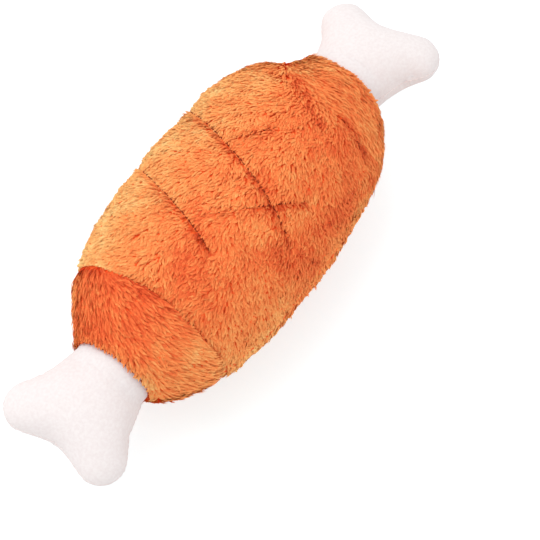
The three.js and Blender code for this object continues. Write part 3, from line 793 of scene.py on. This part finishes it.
TOUSLE = 10
LENGTH_SPREAD = 0.10
LENGTH_WAVES = 12 * MM
LEAN_SPREAD = 3
LEAN_WAVES = 8 * MM
BARREL_BEND, END_BEND = 24, 9
BASE_TONE = 3.3
TONE_SPREAD = 0.4
TONE_WAVES = 16 * MM
FINE_TONE_SPREAD = 0.25
FINE_TONE_WAVES = 5 * MM
STRAND_TONE_SPREAD = 0.15
TONE_STEPS = (-0.3, 0.4)  # of a strand's middle and tip from its tone
STRAND_ROLL = 9
STRAND_WIDTH_SPREAD = 0.2
STRAND_FAN = 5  # degrees by which the outer strands of a lock lie flatter
STRAND_WIDTHS = (0.8, 1.0, 0.95)
STRAND_SWINGS = (-0.5, 0.2, 1)  # of the lock's bend, from root to tip
STRAND_ANGLES = (5, 98)  # least and most, from the skin's normal
ROOT_SINK = 0.15 * MM
TUFT_ROUND, TUFT_AHEAD = 0.45, 0.1  # how far a lock's normals turn across it and along the comb

RIM_RISE = 28  # the pile round a neck hole stands up by this, so that it ends on the bone
RIM_FROM, RIM_TO = 1 * MM, 3 * MM
RIM_TRIM = {"near": 0.25, "near_left": 0.3, "far": 0.5}  # share of its length that it lacks
RIM_LEFT = (40, 90)
ROW_RISE = 30  # and the pile that leans away from a row of stitches by this
ROW_RISE_FROM, ROW_RISE_TO = 0.3 * MM, 1.6 * MM
CUT_RISE = 20  # and locks that a row of stitches or a seam cuts short
CUT_REACH = 0.85  # share of its length that a laid strand covers
CUT_LEAST, LEAST_LENGTH = 0.2, 0.3
PART_RISE, PART_TRIM = 8, 0.15
FLOOR_LAY = 60  # pile under the toy lies flat
FLOOR_REACH = 0.5 * MM


def lock_lay(base, direction, row, x, degrees, size, reach, seed, rng):
    """Length of each lock, and how much further than usual it leans, in degrees."""
    count = len(base)
    length = size * reach * STRAND_LENGTH * (
        1 + LENGTH_SPREAD * rng.normal(size=count) + LENGTH_SPREAD * Waves(seed + 5, LENGTH_WAVES)(base))
    lean = rng.normal(0, LEAN_SPREAD, count) + LEAN_SPREAD * Waves(seed + 6, LEAN_WAVES)(base)
    room = room_before(x, degrees, direction, STRAND_LENGTH)
    short = np.clip((room - STITCH_PARTING) / (length * CUT_REACH), CUT_LEAST, 1)
    length = length * (LEAST_LENGTH + (1 - LEAST_LENGTH) * short)
    lean = lean - CUT_RISE * (1 - short)
    behind = room_before(x, degrees, -direction, STRAND_LENGTH, near_seam=False)
    lean = lean - ROW_RISE * (1 - step_up(behind, ROW_RISE_FROM, ROW_RISE_TO))
    apart = parted(base, x, degrees)
    lean = lean - PART_RISE * apart
    length = length * (1 - PART_TRIM * apart)
    arc = SKIN_ARC[row.astype(int)]
    hole = np.minimum(arc - SKIN_ARC[len(LIP)], SKIN_ARC[ROWS - 1 - len(LIP)] - arc)
    rim = 1 - step_up(hole, RIM_FROM, RIM_TO)
    lean = lean - RIM_RISE * rim
    near_trim = RIM_TRIM["near"] + RIM_TRIM["near_left"] * step_up(degrees, *RIM_LEFT)
    trim = np.where(x < 0, near_trim, RIM_TRIM["far"])
    length = length * (1 - trim * rim) / (1 + (reach - 1) * rim)
    pressed = base[:, 2] < PILE_DEPTH + FLOOR_REACH
    return length, np.where(pressed, FLOOR_LAY, lean), rim


def plant(name, first, last, keep, size, leans, seed, reach):
    """A panel's pile: locks of strands that lean in three bends, in degrees, and gather towards their tips."""
    rng = np.random.default_rng(seed)
    row, column = roots(first, last, LOCK_SPACING * size, rng)
    degrees = column * 360 / COLUMNS - 90
    x = np.interp(row, np.arange(ROWS), LINE[:, 0])
    clear = keep(degrees) & (np.abs(x + SEAM_HALF_SPACING) > SEAM_PARTING)
    for stitches in TOPSTITCHES.values():
        distance, tight = row_offset(stitches, x, degrees)
        clear &= ~(on_crown(x, degrees) & (distance < STITCH_PARTING * np.minimum(1, TIGHT_ROW * tight)))
    row, column, degrees, x = (v[clear] for v in (row, column, degrees, x))
    base = on_skin(SKIN_POINTS, row, column)
    normal = unit(on_skin(SKIN_NORMALS, row, column))
    direction = comb(base, normal, x, degrees)
    count = len(base)
    tousle = np.radians(rng.normal(0, TOUSLE, count))[:, None]
    direction = direction * np.cos(tousle) + np.cross(normal, direction) * np.sin(tousle)
    side = np.cross(normal, direction)
    length, lean, rim = lock_lay(base, direction, row, x, degrees, size, reach, seed, rng)
    bend = rng.normal(0, 1, count) * np.where(on_barrel(x), BARREL_BEND, END_BEND)
    # The tones take the pile's painted light and shade, and round the neck holes a painted highlight up to one
    # step lighter (rim)
    tone = (BASE_TONE + TONE_SPREAD * rng.normal(size=count) + TONE_SPREAD * Waves(seed + 7, TONE_WAVES)(base)
            + FINE_TONE_SPREAD * Waves(seed + 8, FINE_TONE_WAVES)(base) + pile_painted_light_and_partings(base, x, degrees) + rim)

    strands = count * LOCK_STRANDS
    locks = (base, normal, direction, side, length, lean, bend, tone)
    base, normal, direction, side, length, lean, bend, tone = (np.repeat(v, LOCK_STRANDS, 0) for v in locks)
    turn = rng.uniform(0, 2 * math.pi, strands)
    out = np.sqrt(rng.uniform(0, 1, strands))
    across, ahead = (out * np.cos(turn))[:, None], (out * np.sin(turn))[:, None]
    offset = LOCK_SPREAD * size * (across * side + ahead * direction)
    length = (length * (1 + LENGTH_SPREAD * rng.normal(size=strands)))[:, None]
    lean = lean + rng.normal(0, LEAN_SPREAD, strands) + STRAND_FAN * out
    roll = np.radians(rng.normal(0, STRAND_ROLL, strands))[:, None]
    half = side * np.cos(roll) + normal * np.sin(roll)
    half = half * size * STRAND_HALF_WIDTH * (1 + STRAND_WIDTH_SPREAD * rng.normal(size=strands))[:, None]
    points, centre = [], base - ROOT_SINK * normal + offset
    for share, angle, width, swing in zip(STRAND_PARTS, leans, STRAND_WIDTHS, STRAND_SWINGS):
        points += [centre - half * width, centre + half * width]
        angle = np.radians(np.clip(angle + lean, *STRAND_ANGLES))[:, None]
        turned = np.radians(bend * swing)[:, None]
        heading = normal * np.cos(angle) + (direction * np.cos(turned) + side * np.sin(turned)) * np.sin(angle)
        centre = centre + heading * length * share - (1 - LOCK_GATHER) * share * offset
    points = np.stack(points + [centre], 1)
    points[..., 2] = np.maximum(points[..., 2], FLOOR_CLEARANCE)
    shade = unit(normal + TUFT_ROUND * across * side + TUFT_AHEAD * direction)
    normals = np.repeat(shade[:, None], points.shape[1], 1)
    tone = tone + STRAND_TONE_SPREAD * rng.normal(size=strands)
    root_slot = len(PILE_TONES) + rng.integers(0, len(ROOT_TONES), strands)
    upper_slots = [np.clip(np.round(tone + step), 0, len(PILE_TONES) - 1) for step in TONE_STEPS]
    slots = np.stack([root_slot, *upper_slots])
    parts = np.array_split(np.arange(strands), math.ceil(strands / MOST_STRANDS))
    for number, part in enumerate(parts, 1):
        piece = name if len(parts) == 1 else f"{name}_{number}"
        strand_object(piece, points[part], normals[part], slots[:, part])


STRAND_QUADS = [(0, 2, 3, 1), (2, 4, 5, 3)]
STRAND_TIP = [(4, 6, 5)]


def strand_object(name, points, normals, slots):
    """One mesh of strands: two quads and a tip each, with a material for each of the three."""
    start = (np.arange(len(points)) * points.shape[1])[:, None]
    quads = np.concatenate([np.array([quad]) + start for quad in STRAND_QUADS])
    tips = np.array(STRAND_TIP) + start
    mesh = bpy.data.meshes.new(name)
    mesh.vertices.add(points.shape[0] * points.shape[1])
    mesh.vertices.foreach_set("co", points.astype(np.float32).ravel())
    corners = np.concatenate([quads.ravel(), tips.ravel()]).astype(np.int32)
    starts = np.concatenate([np.arange(len(quads)) * 4, len(quads) * 4 + np.arange(len(tips)) * 3])
    mesh.loops.add(len(corners))
    mesh.loops.foreach_set("vertex_index", corners)
    mesh.polygons.add(len(starts))
    mesh.polygons.foreach_set("loop_start", starts.astype(np.int32))
    mesh.polygons.foreach_set("material_index", slots.ravel().astype(np.int32))
    mesh.update(calc_edges=True)
    for material in PILE_MATERIALS:
        mesh.materials.append(material)
    mesh.shade_smooth()
    mesh.normals_split_custom_set_from_vertices(normals.reshape(-1, 3))
    obj = in_scene(name, mesh)
    press(obj)


MOST_STRANDS = 36000  # in one piece
SHORT_PILE = (50, 72, 92)
LAID_PILE = (54, 79, 94)
FLOOR_CLEARANCE = 0.05 * MM

for name, first, last, keep, size, leans, seed, reach in (
    ("crown_pile_left", NEAR_SEAM_ROW, FAR_SEAM_ROW, lambda d: (d >= 0) & (d < 90), 0.85, SHORT_PILE, 10, 1),
    ("crown_pile_right", NEAR_SEAM_ROW, FAR_SEAM_ROW, lambda d: d < 0, 0.95, SHORT_PILE, 20, 1),
    ("belly_pile", NEAR_SEAM_ROW, FAR_SEAM_ROW, lambda d: d >= 90, 1.25, LAID_PILE, 30, 1),
    ("near_end_pile", len(LIP), NEAR_SEAM_ROW, lambda d: d > -900, 1.05, LAID_PILE, 40, 1.35),
    ("far_end_pile", FAR_SEAM_ROW, ROWS - 1 - len(LIP), lambda d: d > -900, 1.0, LAID_PILE, 50, 1.1),
):
    plant(name, first, last, keep, size, leans, SEED + seed, reach)


# Stitches

THREAD_SIDES, STITCH_BENDS = 6, 6
STITCH_THICKNESS = (0.55, 0.45)  # at its ends, and what its middle adds
STITCH_DIVE = 1.6  # of the thread's radius


def thread_stitches(name, points, normals, radius, stitch, gap, material, slot, nodes):
    """A row of stitches along a line: each one rises from the cloth, lies on it and dives again."""
    arc = arc_along(points)
    count = max(1, int(round(arc[-1] / (stitch + gap))))
    pitch = arc[-1] / count
    verts, faces = [], []
    for k in range(count):
        shares = np.linspace(0, 1, STITCH_BENDS)
        places = (k + 0.5) * pitch + (shares - 0.5) * (pitch - gap)
        centre = at_places(places, arc, points)
        normal = unit(at_places(places, arc, normals))
        along = unit(np.gradient(centre, axis=0))
        side = unit(np.cross(along, normal))
        sink = (1 - np.sin(math.pi * shares) ** 0.6)[:, None] * radius * STITCH_DIVE
        centre = centre - normal * sink
        thick = radius * (STITCH_THICKNESS[0] + STITCH_THICKNESS[1] * np.sin(math.pi * shares) ** 0.5)[:, None]
        start = len(verts)
        for b in range(STITCH_BENDS):
            for s in range(THREAD_SIDES):
                a = 2 * math.pi * s / THREAD_SIDES
                verts.append(centre[b] + thick[b] * (math.cos(a) * normal[b] + math.sin(a) * side[b]))
        faces += [tuple(start + v for v in face) for face in grid_faces(STITCH_BENDS, THREAD_SIDES, True)]
        faces.append(tuple(range(start, start + THREAD_SIDES)))
        faces.append(tuple(range(len(verts) - 1, len(verts) - 1 - THREAD_SIDES, -1)))
    obj = mesh_object(name, verts, faces, [material])
    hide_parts(*nodes)
    return obj


TOPSTITCH = (0.3 * MM, 1.9 * MM, 0.1 * MM)  # radius of the thread, length of a stitch, gap
SEAM_STITCH = (0.4 * MM, 2.4 * MM, 0.3 * MM)
EDGE_STITCH = (0.22 * MM, 1.8 * MM, 0.3 * MM)
NECK_STITCH = (0.3 * MM, 2.6 * MM, 0.1 * MM)
END_SEAM_RISE = 0.15 * MM
END_SEAM_BARED = 0.7 * MM  # how much higher the near end's thread lies where the photo shows it
BARED_FROM, BARED_TO = 0, 30  # degrees from the top over which that ends
SIDE_SEAM_RISE = 0.1 * MM
STITCH_RISE = 0.9 * MM  # of the topstitches above the skin's furrow
STITCH_SINK = 0.9 * MM  # how much deeper the loosest stitches lie


def crown_row(row, samples=60):
    """Points and normals on the skin along a row of stitches."""
    share = np.linspace(0, 1, samples)
    start, end = np.array(row["from"], float), np.array(row["to"], float)
    x, degrees = (start + (end - start) * share[:, None]).T
    rows = np.interp(x * MM, LINE[3:-3, 0], np.arange(3, ROWS - 3))
    columns = (degrees + 90) * COLUMNS / 360
    return on_skin(SKIN_POINTS, rows, columns), unit(on_skin(SKIN_NORMALS, rows, columns))


for name, row in TOPSTITCHES.items():
    points, normals = crown_row(row)
    tight = np.linspace(*row["strength"], len(points))[:, None]
    points = points + normals * (STITCH_RISE - STITCH_SINK * (1 - tight))
    press(thread_stitches(f"topstitch_{name}_thread", points, normals, *TOPSTITCH, STITCH_THREAD,
                          "topstitch_thread", [f"topstitch_{name}"]))

for side, row in (("near", NEAR_SEAM_ROW), ("far", FAR_SEAM_ROW)):
    ring = list(range(COLUMNS)) + [0]
    points, normals = SKIN_POINTS[row][ring], SKIN_NORMALS[row][ring]
    bared = 1 - step_up(DEGREES[ring], BARED_FROM, BARED_TO) if side == "near" else np.zeros(len(ring))
    rise = END_SEAM_RISE + END_SEAM_BARED * bared[:, None]
    press(thread_stitches(f"{side}_end_seam_thread", points + normals * rise, normals, *SEAM_STITCH,
                          SEAM_THREAD, "seam_thread", [f"{side}_end_seam"]))

for side, column in (("right", 0), ("left", HALF)):
    rows = range(NEAR_SEAM_ROW + 2, FAR_SEAM_ROW - 1)
    points, normals = SKIN_POINTS[rows, column], SKIN_NORMALS[rows, column]
    press(thread_stitches(f"{side}_side_seam_thread", points + normals * SIDE_SEAM_RISE, normals,
                          *SEAM_STITCH, SEAM_THREAD, "seam_thread", [f"{side}_side_seam"]))


# Inside: the stuffing and the squeaker's bulb

WAD_CELL = 2.2 * MM
WAD_LUMP = 0.7 * MM
WAD_LUMP_RANGE = (0.6, 0.4)  # its mean, and how far it wanders, as shares of that
WAD_LUMP_SIZE = 7 * MM


def wad_of(node):
    """A stuffing of the model as a lumpy wad of fibre that stays inside it."""
    wad = in_scene(f"{node}_wad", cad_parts[node].data.copy())
    wad.data.materials.clear()
    remesh = wad.modifiers.new("remesh", "REMESH")
    remesh.mode = "VOXEL"
    remesh.voxel_size = WAD_CELL
    mesh = bpy.data.meshes.new_from_object(wad.evaluated_get(bpy.context.evaluated_depsgraph_get()))
    wad.modifiers.clear()
    wad.data = mesh
    mesh.materials.append(FIBRE)
    places = np.empty(len(mesh.vertices) * 3)
    mesh.vertices.foreach_get("co", places)
    places = places.reshape(-1, 3)
    inward = -np.array([vertex.normal for vertex in mesh.vertices])
    mean, wander = WAD_LUMP_RANGE
    lump = WAD_LUMP * (mean + wander * Waves(SEED + 60, WAD_LUMP_SIZE)(places))
    mesh.vertices.foreach_set("co", (places + inward * lump[:, None]).ravel())
    mesh.shade_smooth()
    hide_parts(node)
    return wad


press(wad_of("upper_stuffing"))
press(wad_of("lower_stuffing"))

bulb = in_scene("squeaker_bulb_vinyl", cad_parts["squeaker_bulb"].data.copy())
bulb.data.materials.clear()
bulb.data.materials.append(VINYL)
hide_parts("squeaker_bulb")
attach(bulb, "base")
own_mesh(bulb)


# Bone ends

BONE = {
    "near": {"roll": 9, "outward": -1, "tip": BONE_TIP["near"], "spread": (24.4, 24.2)},
    "far": {"roll": -11, "outward": 1, "tip": BONE_TIP["far"], "spread": (23.8, 25.6)},
}
NECK_RADIUS = 14.8 * MM
NECK_LENGTH = 7 * MM
TUCK = 5 * MM  # how far the cloth reaches into the barrel
BONE_HALF_THICKNESS = 12.8 * MM
SWELLING_POWER = 0.45  # the lower, the fuller the lobes
LOBE_RADIUS = 8.9 * MM
NECK_TURNS = (180, 89, -15)  # degrees round the neck's ball and round a lobe of the outline's points
LOBE_TURNS = (115, -20, 6)
FLARE_AT, FLARE = 0.36, 0.34  # a third of the way to the lobes, this share of their spread is reached
NOTCH_SIDE = (0.75, 0.34)  # the line beside the notch: shares of its depth and of a lobe's place
EDGE_POWER = 8  # the higher, the sharper the neck's ball stands out of the swelling
NOTCH_DEPTH = 3.8 * MM
BONE_RINGS = 20
BONE_POINTS = 132
BONE_PUFF = 1.2 * MM  # furthest move of a bone's cloth when it is blown up
BONE_PRESSURE = 14
BONE_ROOM = 0.4 * MM  # the form starts this much short of the model's tip, because it swells
WAD_ROOM = 1.4 * MM  # from the cloth to the wad inside it
EDGE_SINK = 0.15 * MM
NECK_SEAM_RADIUS = 14.9 * MM
NECK_SEAM_POINTS = 97
SPLINE_STEPS = 24
NECK_BALL_END = 80  # degrees round the neck's ball at which the outline leaves it
SWELLING_CELL = 0.6 * MM
SWELLING_ROUNDS = 5000


def smooth_loop(corners, count):
    """A smooth closed line through corners, as evenly spaced points."""
    corners = np.array(corners)
    n = len(corners)
    fine = []
    for i in range(n):
        p0, p1, p2, p3 = (corners[(i + k - 1) % n] for k in range(4))
        for t in np.linspace(0, 1, SPLINE_STEPS, endpoint=False):
            fine.append(0.5 * (2 * p1 + (p2 - p0) * t + (2 * p0 - 5 * p1 + 4 * p2 - p3) * t ** 2
                               + (3 * p1 - p0 - 3 * p2 + p3) * t ** 3))
    fine = np.array(fine + [fine[0]])
    arc = arc_along(fine)
    return at_places(np.linspace(0, arc[-1], count, endpoint=False), arc, fine)


def bone_side(reach, spread):
    """Half the plan of a bone's form: from the ball inside the barrel's end round a lobe to the notch."""
    lobe_x, lobe_y = reach - LOBE_RADIUS, spread - LOBE_RADIUS
    turns = np.radians(np.arange(*NECK_TURNS))
    half = [(NECK_RADIUS * math.cos(a), NECK_RADIUS * math.sin(a)) for a in turns]
    leave = math.radians(NECK_BALL_END)
    half.append((NECK_RADIUS * math.cos(leave), NECK_RADIUS * math.sin(leave)))
    half.append((NECK_LENGTH + (lobe_x - NECK_LENGTH) * FLARE_AT, NECK_RADIUS + (spread - NECK_RADIUS) * FLARE))
    for degrees in np.linspace(*LOBE_TURNS):
        a = math.radians(degrees)
        half.append((lobe_x + LOBE_RADIUS * math.cos(a), lobe_y + LOBE_RADIUS * math.sin(a)))
    half.append((reach - NOTCH_DEPTH * NOTCH_SIDE[0], lobe_y * NOTCH_SIDE[1]))
    half.append((reach - NOTCH_DEPTH, 0.0))
    return half


def bone_outline(reach, spread):
    """Plan of a bone's form as [x, y]; spread gives how far its lobes reach to +y and -y, in mm."""
    left, right = (bone_side(reach, side * MM) for side in spread)
    return smooth_loop(left + [(x, -y) for x, y in right[1:-1]][::-1], BONE_POINTS)


def inside(outline, x, y):
    """Which points lie inside a closed outline."""
    hit = np.zeros(x.shape, bool)
    for (x0, y0), (x1, y1) in zip(outline, np.roll(outline, -1, 0)):
        if y0 != y1:
            hit ^= ((y0 > y) != (y1 > y)) & (x < x0 + (y - y0) * (x1 - x0) / (y1 - y0))
    return hit


def swelling(outline):
    """How far a cloth of this outline swells: a function of the place, 1 at its highest."""
    cell = SWELLING_CELL
    low = outline.min(0) - 2 * cell
    counts = np.ceil((outline.max(0) - low) / cell).astype(int) + 3
    x, y = (low[k] + cell * np.arange(counts[k]) for k in range(2))
    within = inside(outline, *np.meshgrid(x, y, indexing="ij"))
    rise = np.zeros(within.shape)
    for _ in range(SWELLING_ROUNDS):
        around = (rise[:-2, 1:-1] + rise[2:, 1:-1] + rise[1:-1, :-2] + rise[1:-1, 2:]) / 4
        rise[1:-1, 1:-1] = np.where(within[1:-1, 1:-1], around + 1, 0)
    rise /= rise.max()

    def at(places):
        u, v = ((places - low) / cell).T
        i, j = np.floor(u).astype(int), np.floor(v).astype(int)
        a, b = u - i, v - j
        return ((rise[i, j] * (1 - b) + rise[i, j + 1] * b) * (1 - a)
                + (rise[i + 1, j] * (1 - b) + rise[i + 1, j + 1] * b) * a)

    return at


def bone_form(reach, spread):
    """The stuffed bone: the points of both faces, ring by ring from the middle, which share their edge."""
    outline = bone_outline(reach, spread)
    middle = np.array([(reach - LOBE_RADIUS - NECK_RADIUS) / 2, 0])
    share = np.sin(np.linspace(0, math.pi / 2, BONE_RINGS + 1))
    plan = (middle + (outline - middle)[None] * share[1:, None, None]).reshape(-1, 2)
    plan = np.concatenate([plan, middle[None]])
    swell = BONE_HALF_THICKNESS * np.maximum(swelling(outline)(plan), 0) ** SWELLING_POWER
    neck = np.sqrt(np.maximum(NECK_RADIUS ** 2 - (plan ** 2).sum(1), 0))
    height = (swell ** EDGE_POWER + neck ** EDGE_POWER) ** (1 / EDGE_POWER)
    rings = BONE_RINGS * BONE_POINTS
    height[rings - BONE_POINTS:rings] = 0
    face = np.concatenate([plan, height[:, None]], -1)
    upper, top = face[:-1], face[-1:]
    lower = upper[:-BONE_POINTS] * (1, 1, -1)
    points = np.concatenate([upper, lower, top, top * (1, 1, -1)])
    peak = len(upper) + len(lower)
    up = grid_faces(BONE_RINGS, BONE_POINTS, True)
    up += [(peak, (i + 1) % BONE_POINTS, i) for i in range(BONE_POINTS)]
    below = {i: i if i >= rings - BONE_POINTS else i + rings for i in range(rings)}
    below[peak] = peak + 1
    down = [tuple(below[i] for i in face[::-1]) for face in up]
    return points, up, down


def bone_placing(side):
    facts = BONE[side]
    turn = Matrix.Rotation(math.pi if facts["outward"] < 0 else 0, 4, "Z")
    roll = Matrix.Rotation(math.radians(facts["roll"]), 4, "X")
    return Matrix.Translation(Vector(NECK[side])) @ roll @ turn


for side, facts in BONE.items():
    reach = abs(facts["tip"] - NECK[side][0])
    placing = bone_placing(side)
    points, up, down = bone_form(reach - BONE_ROOM, facts["spread"])
    pin = 1 - step_up(points[:, 0], 0, NECK_LENGTH)
    blown = inflate(points, up + down, pin, BONE_PUFF, BONE_PRESSURE)
    placed = np.array([placing @ Vector(p) for p in blown])
    for word, faces in (("upper", up), ("lower", down)):
        shown = [face for face in faces if max(points[i, 0] for i in face) > -TUCK]
        used = sorted({i for face in shown for i in face})
        renumber = {old: new for new, old in enumerate(used)}
        cloth = mesh_object(f"{side}_bone_{word}_cloth", placed[used],
                            [[renumber[i] for i in face] for face in shown], [BONE_CLOTH])
        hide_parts(f"{side}_bone_{word}_panel")
        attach(cloth, f"{side}_bone")
    wad = mesh_object(f"{side}_bone_wad", placed, up + down, [FIBRE])
    outward = np.array([vertex.normal for vertex in wad.data.vertices])
    wad.data.vertices.foreach_set("co", (placed - outward * WAD_ROOM).ravel())
    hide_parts(f"{side}_bone_stuffing")
    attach(wad, f"{side}_bone")
    first = (BONE_RINGS - 1) * BONE_POINTS
    edge = [i for i in range(first, first + BONE_POINTS) if points[i, 0] > -TUCK]
    gap = int(np.argmax(np.diff(edge) > 1)) + 1 if max(np.diff(edge)) > 1 else 0
    edge = edge[gap:] + edge[:gap]
    inner = placed[[i - BONE_POINTS for i in edge]]
    outward = unit(placed[edge] - inner)
    seam = thread_stitches(f"{side}_bone_edge_thread", placed[edge] - outward * EDGE_SINK, outward,
                           *EDGE_STITCH, BONE_THREAD, "bone_cloth", [f"{side}_bone_edge_seam"])
    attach(seam, f"{side}_bone")
    outward = outward_at(np.linspace(0, 2 * math.pi, NECK_SEAM_POINTS))
    neck = thread_stitches(f"{side}_neck_seam_thread", NECK[side] + NECK_SEAM_RADIUS * outward, outward,
                           *NECK_STITCH, SEAM_THREAD, "seam_thread", [f"{side}_neck_seam"])
    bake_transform(neck)


# Stage

FLOOR_LIT = (0.5, 0.58, 0.6)  # what the camera sees of the floor's light and shadow
FLOOR_GLOW = 0.6  # and the white over it
FLOOR_REFLECTS = (0.96, 0.96, 0.96, 1)
WHITE = (1, 1, 1, 1)
WORLD_STRENGTH = 0.89
FLOOR_HALF = 3
KEY_SIZE, KEY_POWER, KEY_DISTANCE = 0.7, 4.7, 1.1
KEY_DIRECTION = (-0.33, 0.5, 0.8)  # to the right in the picture, up in it, and towards the camera
SENSOR_WIDTH = 36


def light(name, size, power, place):
    lamp = bpy.data.lights.new(name, "AREA")
    lamp.size = size
    lamp.energy = power
    obj = in_scene(name, lamp)
    obj.location = place
    obj.rotation_euler = (MIDDLE - place).to_track_quat("-Z", "Y").to_euler()


def seen_as(tree, shaded, plain):
    """Camera, glossy and transmission rays see the plain colour, and light sees the other."""
    rays = add_node(tree, "LightPath").outputs
    share = rays["Is Camera Ray"]
    for ray in ("Is Glossy Ray", "Is Transmission Ray"):
        most = add_node(tree, "Math")
        most.operation = "MAXIMUM"
        tree.links.new(share, most.inputs[0])
        tree.links.new(rays[ray], most.inputs[1])
        share = most.outputs[0]
    mix = add_node(tree, "MixShader")
    for socket, source in zip(mix.inputs, (share, shaded, plain)):
        tree.links.new(source, socket)
    return mix.outputs[0]


def make_stage():
    paper = new_material("floor", FLOOR_REFLECTS, 1.0)
    tree = paper.node_tree
    seen = add_node(tree, "AddShader")
    for socket, part in zip(seen.inputs, (
            add_node(tree, "BsdfDiffuse", Color=(*FLOOR_LIT, 1)),
            add_node(tree, "Emission", Strength=FLOOR_GLOW))):
        tree.links.new(part.outputs[0], socket)
    shaded = tree.nodes["Principled BSDF"].outputs[0]
    tree.links.new(seen_as(tree, shaded, seen.outputs[0]), tree.nodes["Material Output"].inputs[0])
    corners = [(x * FLOOR_HALF, y * FLOOR_HALF, 0) for x, y in ((-1, -1), (1, -1), (1, 1), (-1, 1))]
    floor = mesh_object("floor", corners, [(0, 1, 2, 3)], [paper])
    world = bpy.data.worlds.new("studio")
    bpy.context.scene.world = world
    world.use_nodes = True
    tree = world.node_tree
    shaded = tree.nodes["Background"]
    shaded.inputs["Color"].default_value = WHITE
    shaded.inputs["Strength"].default_value = WORLD_STRENGTH
    plain = add_node(tree, "Background", Color=WHITE)
    tree.links.new(seen_as(tree, shaded.outputs[0], plain.outputs[0]), tree.nodes["World Output"].inputs[0])
    toward = RIGHT * KEY_DIRECTION[0] + UP * KEY_DIRECTION[1] + BACK * KEY_DIRECTION[2]
    light("key", KEY_SIZE, KEY_POWER, MIDDLE + toward.normalized() * KEY_DISTANCE)


def make_camera():
    camera = bpy.data.cameras.new("photo_view")
    camera.sensor_width = SENSOR_WIDTH
    camera.lens = CAMERA_LENS
    obj = in_scene("photo_view", camera)
    upright = Matrix((RIGHT, UP, BACK)).transposed()
    place = MIDDLE + BACK * CAMERA_DISTANCE
    aim = (MIDDLE + RIGHT * AIM_RIGHT + UP * AIM_UP - place).normalized()
    swing = (-BACK).rotation_difference(aim)
    turned = swing.to_matrix() @ upright
    obj.matrix_world = Matrix.Translation(place) @ turned.to_4x4()
    bpy.context.scene.camera = obj


make_stage()
make_camera()
bpy.context.scene.view_settings.view_transform = "Standard"
